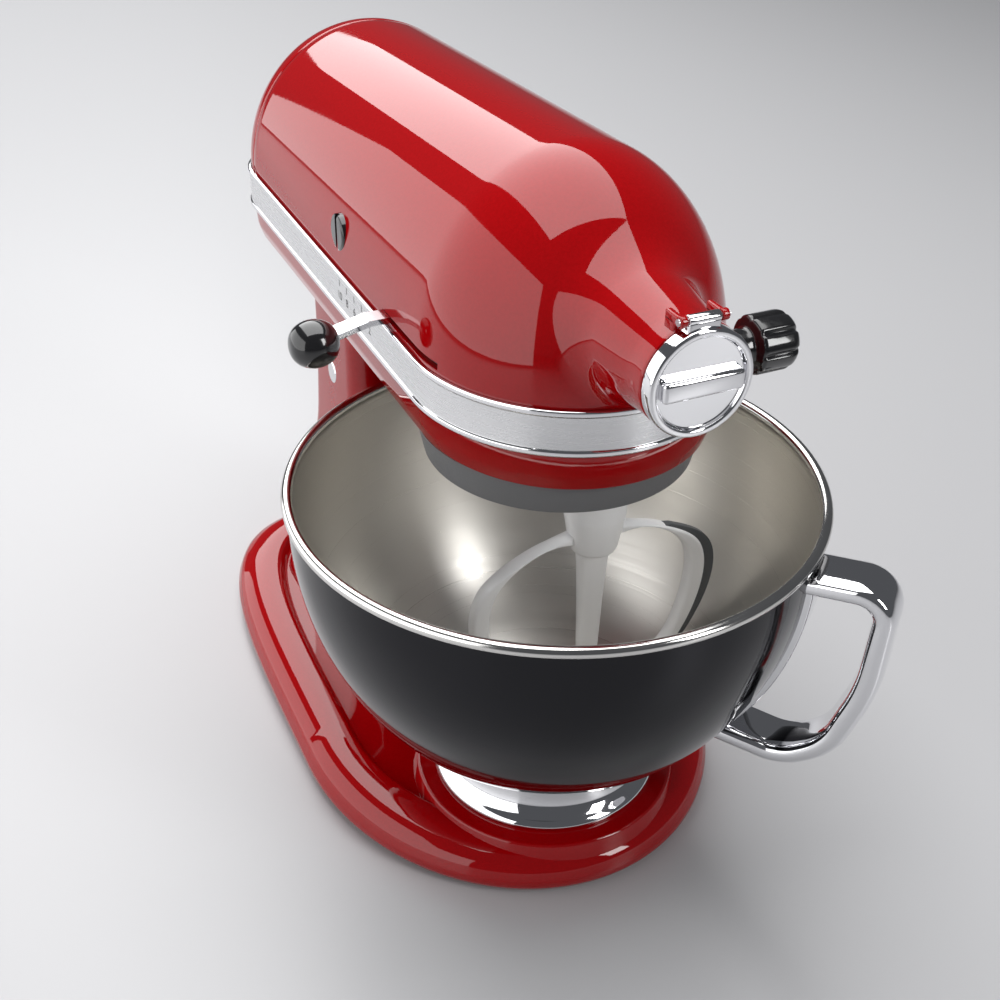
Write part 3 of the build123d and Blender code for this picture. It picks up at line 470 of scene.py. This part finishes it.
def make_foot_ring():
    flare = smooth_path([(51.0, 25.3), (51.9, 26.4), (51.2, 28.2), (48.2, 30.8), (46.0, 34.0), (44.6, 39),
                         (43.4, 48.0)], 6)
    inner = [(41.0, 47), (42.6, 33), (44.5, 29), (44.5, 25.3)]
    ring = turned(flare + inner, closed=True, steps=256)
    lugs = []
    for middle in (90, 210, 330):
        rows = []
        for angle in np.radians(np.linspace(middle - 15, middle + 15, 17)):
            section = rounded([(45.0, 25.3), (45.0, 29.5), (36.8, 29.5), (36.8, 25.3)], [0, 0, 0.8, 0.8], 4)
            rows.append([(r * cos(angle), r * sin(angle), z) for r, z in section])
        lugs.append(skin(rows, cap_first=True, cap_last=True))
    mesh = new_mesh("foot_ring", *joined(ring, *lugs))
    piece("foot_ring", mesh, [SLOTS["chrome"]], "bowl", "chrome", "bowl_foot_ring", sharp=40)


def against_bowl(row):
    """Moves a row of (radius, across, z) points onto the bowl's wall, a little way into it."""
    return [(sqrt(max(bowl_radius(z, -0.7) ** 2 - across**2, 0)), across, z) for _, across, z in row]


def make_handle():
    route = rounded([(109.9, 165.5), (141.5, 168), (139.5, 122), (129, 88), (111, 75.5), (77, 80)],
                    [0, 11, 90, 34, 22, 0], 14)
    fine = [route[0]]
    for a, b in zip(route, route[1:]):
        parts = max(1, int(ceil(np.linalg.norm(b - a) / 4)))
        fine += [a + (b - a) * i / parts for i in range(1, parts + 1)]
    route = np.array(fine)
    ahead = np.gradient(route, axis=0)
    ahead /= np.linalg.norm(ahead, axis=1)[:, None]
    run = np.concatenate([[0], np.cumsum(np.linalg.norm(np.diff(route, axis=0), axis=1))])
    rows = []
    for point, (along_r, along_z), share in zip(route, ahead, run / run[-1]):
        normal = np.array([along_z, -along_r])
        swell = sin(pi * share) ** 2
        half_width, half_thick = 11.6 - 1.0 * swell, 4.6 + 0.6 * swell
        row = []
        for step in range(48):
            angle = 2 * pi * step / 48
            across = abs(cos(angle)) ** 0.6 * (1 if cos(angle) > 0 else -1) * half_width
            out = abs(sin(angle)) ** 0.6 * (1 if sin(angle) > 0 else -1) * half_thick
            r, z = point + normal * out
            row.append((r, across, z))
        rows.append(row)
    rows[0], rows[-1] = against_bowl(rows[0]), against_bowl(rows[-1])
    bar = skin(rows, cap_first=True, cap_last=True)
    strap_rows = []
    for z in np.linspace(84, 163, 30):
        wall = bowl_radius(z)
        ends = min(1.0, (z - 83) / 3, (164 - z) / 3)
        proud = 2.3 * sqrt(max(0.05, 1 - (1 - ends) ** 2))
        section = rounded([(wall - 1.2, -10), (wall + proud, -9.6), (wall + proud, 9.6), (wall - 1.2, 10)],
                          [0, 1.4, 1.4, 0], 4)
        strap_rows.append([(r, across, z) for r, across in section])
    strap = skin(strap_rows, around=False)
    points, faces = joined(bar, strap)
    c, s = cos(HANDLE_ANGLE), sin(HANDLE_ANGLE)
    mesh = new_mesh("handle", points @ np.array([[c, s, 0], [-s, c, 0], [0, 0, 1]]), faces)
    piece("handle", mesh, [SLOTS["chrome"]], "bowl", "chrome", "bowl_handle", sharp=50)


# ---- head ---------------------------------------------------------------------------------------
def crown_height(y):
    return CROWN - (CROWN - CROWN_REAR) * np.maximum(y / COVER_Y, 0.0)


def dome_distance(p, shell=0.0):
    """About how far points lie outside the head's dome, with the lower half mirrored."""
    x, y, z = p[..., 0], p[..., 1], p[..., 2] - BAND_TOP
    half, nose, corner = HEAD_HALF - 0.2 - shell, NOSE - 0.2 - shell, REAR_ROUND - 0.2 - shell
    beyond = np.clip((y - COVER_Y) / corner, 0, 1)
    loss = corner * (1 - np.sqrt(1 - beyond**2))
    across = np.maximum(half - loss, 1)
    up = np.maximum(crown_height(np.minimum(y, COVER_Y)) - shell - loss, 1)
    front = np.where(y < 0, (y / nose) ** 2, 0)
    q = np.sqrt((x / across) ** 2 + (z / up) ** 2 + front)
    return np.maximum((q - 1) * np.minimum(across, 60), y - COVER_Y - corner)


def boss_radius(out):
    """Radius of the hub boss by its distance towards the front."""
    return HUB_R + 8.2 * np.clip((84 - out) / 44, 0, 1) ** 1.25


def head_distance(p):
    """The dome and the hub boss with a soft fillet between them."""
    dome = dome_distance(p)
    out = -p[..., 1]
    around = np.hypot(p[..., 0], p[..., 2] - HUB_Z)
    boss = np.maximum(around - boss_radius(out), 42 - out)
    blend = 7.0
    mix = np.clip(0.5 + 0.5 * (boss - dome) / blend, 0, 1)
    return boss * (1 - mix) + dome * mix - blend * mix * (1 - mix)


def cast(origins, directions, distance, reach=130.0):
    """Where rays from inside leave the surface."""
    low, high = np.zeros(directions.shape[:-1]), np.full(directions.shape[:-1], reach)
    for _ in range(40):
        middle = (low + high) / 2
        inside = distance(origins + directions * middle[..., None]) < 0
        low, high = np.where(inside, middle, low), np.where(inside, high, middle)
    return origins + directions * low[..., None]


THETA = np.linspace(0, 2 * pi, 361)[:-1] + radians(0.5)


def ring_at(y, distance):
    """Section of a surface across the head."""
    directions = np.stack([np.cos(THETA), np.zeros_like(THETA), np.sin(THETA)], -1)
    origins = np.broadcast_to(np.array([0, y, HUB_Z]), directions.shape)
    return cast(origins, directions, distance)


def fan_at(centre_y, phi, distance, sign):
    """Ring of rays that lean towards the front or the rear."""
    lean = np.full_like(THETA, sign * cos(phi))
    directions = np.stack([sin(phi) * np.cos(THETA), lean, sin(phi) * np.sin(THETA)], -1)
    origins = np.broadcast_to(np.array([0, centre_y, HUB_Z]), directions.shape)
    return cast(origins, directions, distance)


def boss_ring(radius, y):
    return np.stack([radius * np.cos(THETA), np.full_like(THETA, y), HUB_Z + radius * np.sin(THETA)], -1)


def trimmed(mesh, z):
    """Keeps what is above a height."""
    work = bmesh.new()
    work.from_mesh(mesh)
    bmesh.ops.bisect_plane(work, geom=work.verts[:] + work.edges[:] + work.faces[:], plane_co=(0, 0, z * MM),
                           plane_no=(0, 0, 1), clear_inner=True)
    work.to_mesh(mesh)
    work.free()


def notch(mesh, low, high, depth):
    """Cuts a slot in the left side of the shell and turns its edges inwards."""
    work = bmesh.new()
    work.from_mesh(mesh)

    def inside(point, spare_y, spare_z):
        x, y, z = [c / MM for c in point]
        return (x < high[0] and low[1] - spare_y < y < high[1] + spare_y
                and low[2] - spare_z < z < high[2] + spare_z)

    for co, no in (((0, low[1], 0), (0, 1, 0)), ((0, high[1], 0), (0, 1, 0)), ((0, 0, low[2]), (0, 0, 1)),
                   ((0, 0, high[2]), (0, 0, 1))):
        geometry = set()
        for face in work.faces:
            if inside(face.calc_center_median(), 4, 5):
                geometry.update([face], face.edges, face.verts)
        bmesh.ops.bisect_plane(work, geom=list(geometry), plane_co=np.array(co) * MM, plane_no=no)
    removed = [f for f in work.faces if inside(f.calc_center_median(), 0, 0)]
    bmesh.ops.delete(work, geom=removed, context="FACES")
    rim = [e for e in work.edges if e.is_boundary and all(inside(v.co, 0.01, 0.01) for v in e.verts)]
    made = bmesh.ops.extrude_edge_only(work, edges=rim)["geom"]
    corners = [part for part in made if isinstance(part, bmesh.types.BMVert)]
    bmesh.ops.translate(work, vec=(depth * MM, 0, 0), verts=corners)
    work.to_mesh(mesh)
    work.free()


def make_upper_housing():
    mouth = [(15.72, -60), (15.72, -80), (15.75, -91.5), (16.1, -91.95), (17.5, -92), (19.2, -92),
             (19.6, -91.85), (19.78, -91.4), (19.8, -90.8), (19.8, -87)]
    rows = [boss_ring(r, y) for r, y in mouth]
    rows += [boss_ring(float(boss_radius(-y)), y) for y in (-84, -82, -80, -78)]
    rows += [fan_at(-10, radians(phi), head_distance, -1) for phi in np.linspace(18.0, 45, 82)]
    rows += [fan_at(-10, radians(phi), head_distance, -1) for phi in np.linspace(45.75, 89.5, 60)]
    stations = list(np.linspace(-10, 0, 8)) + list(np.linspace(4, COVER_Y - 0.6, 52))
    rows += [ring_at(y, head_distance) for y in stations]
    rows += [ring_at(COVER_Y - 0.1, lambda p: dome_distance(p, 0.15)),
             ring_at(COVER_Y - 0.1, lambda p: dome_distance(p, 2.5))]
    mesh = new_mesh("upper_shell", *skin(rows))
    trimmed(mesh, BAND_TOP - 0.5)
    notch(mesh, (-99, LEVER_Y - 46.5, LEVER_Z - 1.4), (-40, LEVER_Y + 4.5, LEVER_Z + 1.4), 2.6)
    piece("upper_shell", mesh, [SLOTS["red_paint"]], "head", "red_paint", "upper_housing", sharp=30)


def make_hinge_ears():
    """The two ears on the hub boss that carry the cover's hinge pin."""
    parts = []
    rear = HUB_FACE + 6.5
    for x in (-HINGE_X, HINGE_X):
        near, far = x - 1.3, x + 1.3
        parts.append(solid_box((near, HUB_FACE - 1.5, HUB_Z + 19.9), (far, rear, HUB_Z + 23.6), 0.9))
        parts.append(solid_box((near, HUB_FACE + 0.2, HUB_Z + 16), (far, rear, HUB_Z + 22), 0.9))
        knuckle = rounded([(0, near), (2.0, near), (2.0, far), (0, far)], [0, 0.5, 0.5, 0])
        parts.append(turned(knuckle, (0, HINGE_Y, HINGE_Z), "X", 48))
    mesh = new_mesh("hinge_ears", *joined(*parts))
    piece("hinge_ears", mesh, [SLOTS["red_paint"]], "head", "red_paint", sharp=40)


def make_slot_shade_sheet():
    """A near-black sheet behind the lever's slot: painted shade for the dark inside of the slot."""
    rows = []
    for y in np.linspace(LEVER_Y - 50, LEVER_Y + 8, 20):
        half = HEAD_HALF * sqrt(1 - (min(y, 0) / NOSE) ** 2) - 3.0
        rows.append([(-half + 0.4 * max(0, (z - LEVER_Z) / 4), y, z) for z in (243, 247, 250, 253, 256)])
    mesh = new_mesh("slot_shade_sheet", *skin(rows, around=False))
    # the sheet is painted shade, not a part of the mixer
    piece("slot_shade_sheet", mesh, [SLOT_PAINTED_SHADE], "head", "black_plastic")


def make_rear_cover():
    start = COVER_Y + 0.12
    rows = [ring_at(start, lambda p: dome_distance(p, 2.5)), ring_at(start, lambda p: dome_distance(p, 0.15))]
    rows += [fan_at(COVER_Y, radians(phi), dome_distance, 1) for phi in np.linspace(89.2, 4, 110)]
    points, faces = skin(rows, cap_last=True)
    mesh = new_mesh("rear_shell", points, faces)
    trimmed(mesh, BAND_TOP - 0.5)
    piece("rear_shell", mesh, [SLOTS["red_paint"]], "head", "red_paint", "rear_cover", sharp=35)


def plan(grow, z):
    """The head's outline in plan, grown outwards."""
    half, nose, corner = HEAD_HALF + grow, NOSE + grow, REAR_ROUND + grow
    inner = HEAD_HALF - REAR_ROUND
    points = [(half * cos(a), nose * sin(a), z) for a in np.linspace(pi, 2 * pi, 145)]
    points += [(half, y, z) for y in np.linspace(0, COVER_Y, 30)[1:-1]]
    points += [(inner + corner * cos(a), COVER_Y + corner * sin(a), z) for a in np.linspace(0, pi / 2, 25)]
    points += [(x, COVER_Y + corner, z) for x in np.linspace(inner, -inner, 10)[1:-1]]
    points += [(-inner + corner * cos(a), COVER_Y + corner * sin(a), z) for a in np.linspace(pi / 2, pi, 25)]
    points += [(-half, y, z) for y in np.linspace(COVER_Y, 0, 30)[1:-1]]
    return points


def make_lower_housing():
    levels = rounded([(-7, UNDER_Z), (-3.6, UNDER_Z), (-1.3, 218), (-0.2, BAND_LOW), (-0.2, 237)],
                     [0, 2.6, 12, 12, 0], 8)
    shell = skin([plan(g, z) for g, z in levels], cap_first=True, cap_last=True)
    arc = [(PIVOT_Y + 16 * sin(radians(a)), PIVOT_Z - 16 * cos(radians(a))) for a in range(-90, 91, 5)]
    side = [(PIVOT_Y - 16, UNDER_Z + 0.5)] + arc + [(PIVOT_Y + 16, UNDER_Z + 0.5)]
    tongue = skin([[(x, y, z) for y, z in side] for x in (-22, 22)], cap_first=True, cap_last=True)
    tab = solid_box((31, 132.5, 185), (37, 145.5, UNDER_Z + 0.5), 1.2)
    mesh = new_mesh("lower_shell", *shell)
    piece("lower_shell", mesh, [SLOTS["red_paint"]], "head", "red_paint", "lower_housing", sharp=35)
    mesh = new_mesh("hinge_tongue", *joined(tongue, tab))
    piece("hinge_tongue", mesh, [SLOTS["red_paint"]], "head", "red_paint", sharp=35)


def make_band():
    edge = 1.7
    lower = [(0.1, BAND_LOW + 0.1), (edge, BAND_LOW + 0.1), (edge, BAND_LOW + 2.3), (1.0, BAND_LOW + 2.9)]
    upper = [(1.0, BAND_TOP - 2.9), (edge, BAND_TOP - 2.3), (edge, BAND_TOP - 0.1), (0.1, BAND_TOP - 0.1)]
    levels = rounded(lower + upper, [0, 0.9, 0.9, 0.3, 0.3, 0.9, 0.9, 0], 5)
    mesh = new_mesh("band", *skin([plan(g, z) for g, z in levels]))
    for face in mesh.polygons:
        on_edge = not BAND_LOW + 2.7 < face.center.z / MM < BAND_TOP - 2.7
        face.material_index = int(on_edge)
    piece("band", mesh, [SLOTS["band_metal"], SLOTS["chrome"]], "head", "band_metal", "trim_band", sharp=50)


def make_speed_marks():
    """Speed numbers on the band behind the lever, with a short mark over each."""
    for index, number in enumerate(("2", "4", "6", "8", "10")):
        y = LEVER_Y + 17 + index * 9.0
        curve = bpy.data.curves.new(f"speed_{number}", "FONT")
        curve.body, curve.size, curve.align_x, curve.align_y = number, 0.0052, "CENTER", "CENTER"
        curve.extrude = 0.00002
        text = bpy.data.objects.new(f"speed_{number}", curve)
        bpy.context.scene.collection.objects.link(text)
        bpy.context.view_layer.update()
        mesh = bpy.data.meshes.new_from_object(text.evaluated_get(bpy.context.evaluated_depsgraph_get()))
        bpy.data.objects.remove(text)
        turn = Matrix(((0, 0, -1), (-1, 0, 0), (0, 1, 0))).to_4x4()
        mesh.transform(Matrix.Translation(Vector((-(HEAD_HALF + 1.03), y, BAND_LOW + 8.2)) * MM) @ turn)
        tick = new_mesh("tick", *solid_box((-HEAD_HALF - 1.05, y - 0.3, BAND_LOW + 12.5),
                                           (-HEAD_HALF - 0.9, y + 0.3, BAND_LOW + 15.5), 0.05, 1))
        work = bmesh.new()
        work.from_mesh(mesh)
        work.from_mesh(tick)
        work.to_mesh(mesh)
        work.free()
        mesh.materials.clear()
        piece(f"speed_mark_{number}", mesh, [MARKING], "head", "black_plastic")


def make_drip_ring():
    low = 197.0
    profile = rounded([(49.5, UNDER_Z - 0.1), (49.5, UNDER_Z - 2.5), (53.0, UNDER_Z - 3), (53.0, low),
                       (54.5, low), (57.6, UNDER_Z - 0.1)], [0, 0, 0, 0.5, 1.0, 0], 6)
    mesh = new_mesh("drip_ring_skin", *turned(profile, closed=True, steps=256))
    piece("drip_ring_skin", mesh, [SLOTS["satin_metal"]], "head", "satin_metal", "drip_ring", sharp=40)


def make_brush_caps():
    for side, node in ((-1, "brush_cap_left"), (1, "brush_cap_right")):
        inner, edge, face = side * 50, side * 60.6, side * 61.15
        profile = rounded([(0, inner), (7.9, inner), (8.0, edge), (6.6, face), (0, face)],
                          [0, 0, 0.9, 0.9, 0], 5)
        mesh = new_mesh("cap", *turned(profile, (0, BRUSH_Y, MOTOR_Z), "X", 96))
        low, high = sorted((side * 59.4, side * 64))
        slot = solid_box((low, BRUSH_Y - 1.1, MOTOR_Z - 9), (high, BRUSH_Y + 1.1, MOTOR_Z + 9), 0.2, 2)
        mesh = cut_away(mesh, [new_mesh("slot", *slot)])
        piece(f"{node}_skin", mesh, [SLOTS["black_plastic"]], "head", "black_plastic", node, sharp=35)


# ---- hub ----------------------------------------------------------------------------------------
def make_hub_cover():
    front = HUB_FACE - 0.3
    profile = rounded([(0, front), (HUB_R, front), (HUB_R, front - 5.9), (HUB_R - 2.6, front - 5.9),
                       (HUB_R - 3.4, front - 4.2), (0, front - 4.2)], [0, 0.8, 1.6, 1.0, 0.6, 0], 6)
    disc = turned(profile, (0, 0, HUB_Z), "Y", 192)
    bar = solid_box((-15.4, front - 7.9, HUB_Z - 3.9), (15.4, front - 3, HUB_Z + 3.9), 1.7, 6)
    lug = solid_box((-6, front - 4.2, HUB_Z + 15), (6, front - 0.6, HUB_Z + HUB_R + 2.5), 1.0)
    knuckle = turned(rounded([(0, -6), (2.0, -6), (2.0, 6), (0, 6)], [0, 0.5, 0.5, 0]),
                     (0, HUB_FACE - 2.5, HUB_Z + HUB_R + 2.5), "X", 48)
    mesh = new_mesh("hub_cover", *joined(disc, bar, lug, knuckle))
    piece("hub_cover", mesh, [SLOTS["chrome"]], "hub_cover", "chrome", "hub_cap", sharp=45)


def make_clamp_knob():
    """Round knob with eight soft grooves along its grip."""
    y = HUB_FACE + 12
    outline = rounded([(0, 22.6), (6.4, 22.6), (6.4, 28), (10.5, 29.5), (10.5, 45), (0, 45)],
                      [0, 0.6, 1.5, 1.8, 4.2, 0], 9)
    outline = [outline[0]] + [a + (b - a) * share for a, b in zip(outline, outline[1:])
                              for share in (0.34, 0.67, 1.0)]
    rows = []
    for radius, x in outline:
        row = []
        depth = 1.1 * min(1, max(0, (x - 28.5) / 3)) * min(1, max(0, (radius - 6) / 3))
        for step in range(256):
            angle = 2 * pi * step / 256
            r = max(radius - depth * max(0.0, cos(8 * angle)) ** 3, 0)
            row.append((x, y + r * cos(angle), HUB_Z + r * sin(angle)))
        rows.append(row)
    mesh = new_mesh("clamp_knob", *skin(rows, cap_first=True, cap_last=True))
    piece("clamp_knob", mesh, [SLOTS["black_plastic"]], "hub_clamp", "black_plastic", "hub_knob", sharp=50)


# ---- speed lever --------------------------------------------------------------------------------
def make_lever():
    grip_y, grip_z, left, right, radius = LEVER_Y - 1, LEVER_Z - 5.5, -101.0, -81.5, 9.4
    middle, half = (left + right) / 2, (right - left) / 2
    profile = []
    for step in range(49):
        angle = pi * step / 48
        profile.append((radius * sin(angle) ** 0.82, middle - half * cos(angle)))
    mesh = new_mesh("lever_grip", *turned(profile, (0, grip_y, grip_z), "X", 96))
    piece("lever_grip", mesh, [SLOTS["black_plastic"]], "speed_lever", "black_plastic", "speed_lever_knob",
          sharp=60)


# ---- beater -------------------------------------------------------------------------------------
def beater_line(grow, count=10):
    """Leaf-shaped outline of the beater, in X and Z."""
    half, low, high, foot = 58 + grow, 54 - grow, 150 + grow, 22 + grow * 0.6
    right = [(foot, low), (half * 0.80, 74), (half, 104), (half * 0.93, 128), (half * 0.52, 143), (0, high)]
    points = right + [(-x, z) for x, z in right[-2::-1]]
    return smooth_path(points, count)


def plate(outer, inner, half_thick, bevel):
    """Flat plate between two closed outlines of the same number of points, with rounded edges."""
    outer, inner = np.array(outer), np.array(inner)
    inward = (inner - outer) / np.linalg.norm(outer - inner, axis=1)[:, None]
    edge = [(bevel * (1 - sin(radians(a))), -half_thick * cos(radians(a))) for a in range(0, 181, 15)]
    loops = [(outer + inward * inset, v) for inset, v in edge]
    loops += [(inner - inward * inset, v) for inset, v in reversed(edge)]
    rows = [[(BEATER_X + x, v, z) for x, z in outline] for outline, v in loops]
    return skin(rows, loop=True)


def make_beater():
    outer, inner = beater_line(0), beater_line(-9)
    frame_ring = plate(outer, inner, 3.5, 2.2)
    turns = np.linspace(0, 2 * pi, 33)[:-1]
    stem_rows = []
    for z, width, thick in ((57, 9, 6), (80, 10, 6.3), (110, 12, 7), (130, 14, 9), (148, 17, 12.5)):
        stem_rows.append([(BEATER_X + width / 2 * abs(cos(a)) ** 0.7 * (1 if cos(a) > 0 else -1),
                           thick / 2 * abs(sin(a)) ** 0.7 * (1 if sin(a) > 0 else -1), z) for a in turns])
    stem = skin(stem_rows, cap_first=True, cap_last=True)
    socket = rounded([(0, 138), (10.4, 138), (13.6, 157), (14.4, 186), (6.4, 186), (6.4, 180)],
                     [0, 3, 8, 1.2, 0.6, 0], 6)
    mesh = new_mesh("beater", *joined(frame_ring, stem, turned(socket, (BEATER_X, 0, 0), steps=96)))
    piece("beater", mesh, [SLOTS["white_coat"]], "beater", "white_coat", "beater_frame", sharp=45)
    keep = [i for i, (x, z) in enumerate(outer) if x > 14 and 60 < z < 141]
    edge, root = np.array(beater_line(5))[keep], np.array(beater_line(-0.6))[keep]
    section = rounded([(0, -2.1), (1, -1.5), (1, 1.5), (0, 2.1)], [0, 0.2, 0.2, 0], 4)
    rows = []
    for (edge_x, edge_z), (root_x, root_z) in zip(edge, root):
        rows.append([(BEATER_X + root_x + (edge_x - root_x) * min(t, 1), v,
                      root_z + (edge_z - root_z) * min(t, 1)) for t, v in section])
    mesh = new_mesh("wiper", *skin(rows, cap_first=True, cap_last=True))
    piece("wiper", mesh, [SLOTS["grey_silicone"]], "beater", "grey_silicone", "flex_edge", sharp=45)


make_foot()
make_pedestal()
make_bowl()
make_foot_ring()
make_handle()
make_upper_housing()
make_hinge_ears()
make_slot_shade_sheet()
make_rear_cover()
make_lower_housing()
make_band()
make_speed_marks()
make_drip_ring()
make_brush_caps()
make_hub_cover()
make_clamp_knob()
make_lever()
make_beater()

# ---- CAD nodes shown as they are ----------------------------------------------------------------
node_slots = {part["node"]: part["material_slot"] for part in frame["record"]["subparts"]}
for name, node in frame["nodes"].items():
    node.data.materials.clear()
    node.data.materials.append(SLOTS[node_slots[name]])
    if not node.hide_render:
        for face in node.data.polygons:
            face.use_smooth = True
        node.data.set_sharp_from_angle(angle=radians(25))


# ---- floor, light and camera --------------------------------------------------------------------
def make_floor():
    half = 4000
    corners = [(-half, -half, 0), (half, -half, 0), (half, half, 0), (-half, half, 0)]
    floor = bpy.data.objects.new("floor", new_mesh("floor", corners, [(0, 1, 2, 3)]))
    bpy.context.scene.collection.objects.link(floor)
    floor.data.materials.append(shader("pale_floor", (0.46, 0.46, 0.47), 0.0, 0.34)[0])


def softbox(name, place, aim, size, power):
    """Rectangular light at a place, facing a point."""
    lamp = bpy.data.lights.new(name, "AREA")
    lamp.shape, lamp.size, lamp.size_y, lamp.energy = "RECTANGLE", size[0], size[1], power
    thing = bpy.data.objects.new(name, lamp)
    bpy.context.scene.collection.objects.link(thing)
    thing.visible_camera = False
    thing.location = place
    thing.rotation_euler = (Vector(aim) - Vector(place)).to_track_quat("-Z", "Y").to_euler()


def make_light():
    softbox("overhead", (0.05, 1.55, 1.4), (0.05, 1.55, 0.0), (1.3, 3.9), 60)
    softbox("left_wall", (-1.25, 1.2, 0.66), (0.0, 1.2, 0.66), (4.4, 1.25), 33)
    softbox("front_fill", (0.7, -1.2, 0.9), (0, 0.05, 0.15), (0.35, 0.8), 9)
    bpy.context.scene.view_settings.view_transform = "Standard"
    world = bpy.data.worlds.new("studio")
    bpy.context.scene.world = world
    world.use_nodes = True
    world.node_tree.nodes["Background"].inputs["Color"].default_value = (0.9, 0.93, 1.0, 1)
    world.node_tree.nodes["Background"].inputs["Strength"].default_value = 0.10


def make_camera():
    """Camera above and to the left of the nose, rolled a little."""
    azimuth, elevation, roll, distance = radians(-25.23), radians(33.31), radians(1.07), 0.6094
    target = Vector((-0.0095, 0.0339, 0.1492))
    back = Vector((sin(azimuth) * cos(elevation), -cos(azimuth) * cos(elevation), sin(elevation)))
    right = Vector((cos(azimuth), sin(azimuth), 0))
    up = back.cross(right)
    across = cos(roll) * right + sin(roll) * up
    upright = -sin(roll) * right + cos(roll) * up
    lens = bpy.data.cameras.new("camera")
    lens.sensor_width, lens.lens, lens.clip_start = 36.0, 49.64, 0.02
    camera = bpy.data.objects.new("camera", lens)
    bpy.context.scene.collection.objects.link(camera)
    turn = Matrix((across, upright, back)).transposed().to_4x4()
    camera.matrix_world = Matrix.Translation(target + back * distance) @ turn
    bpy.context.scene.camera = camera


make_floor()
make_light()
make_camera()
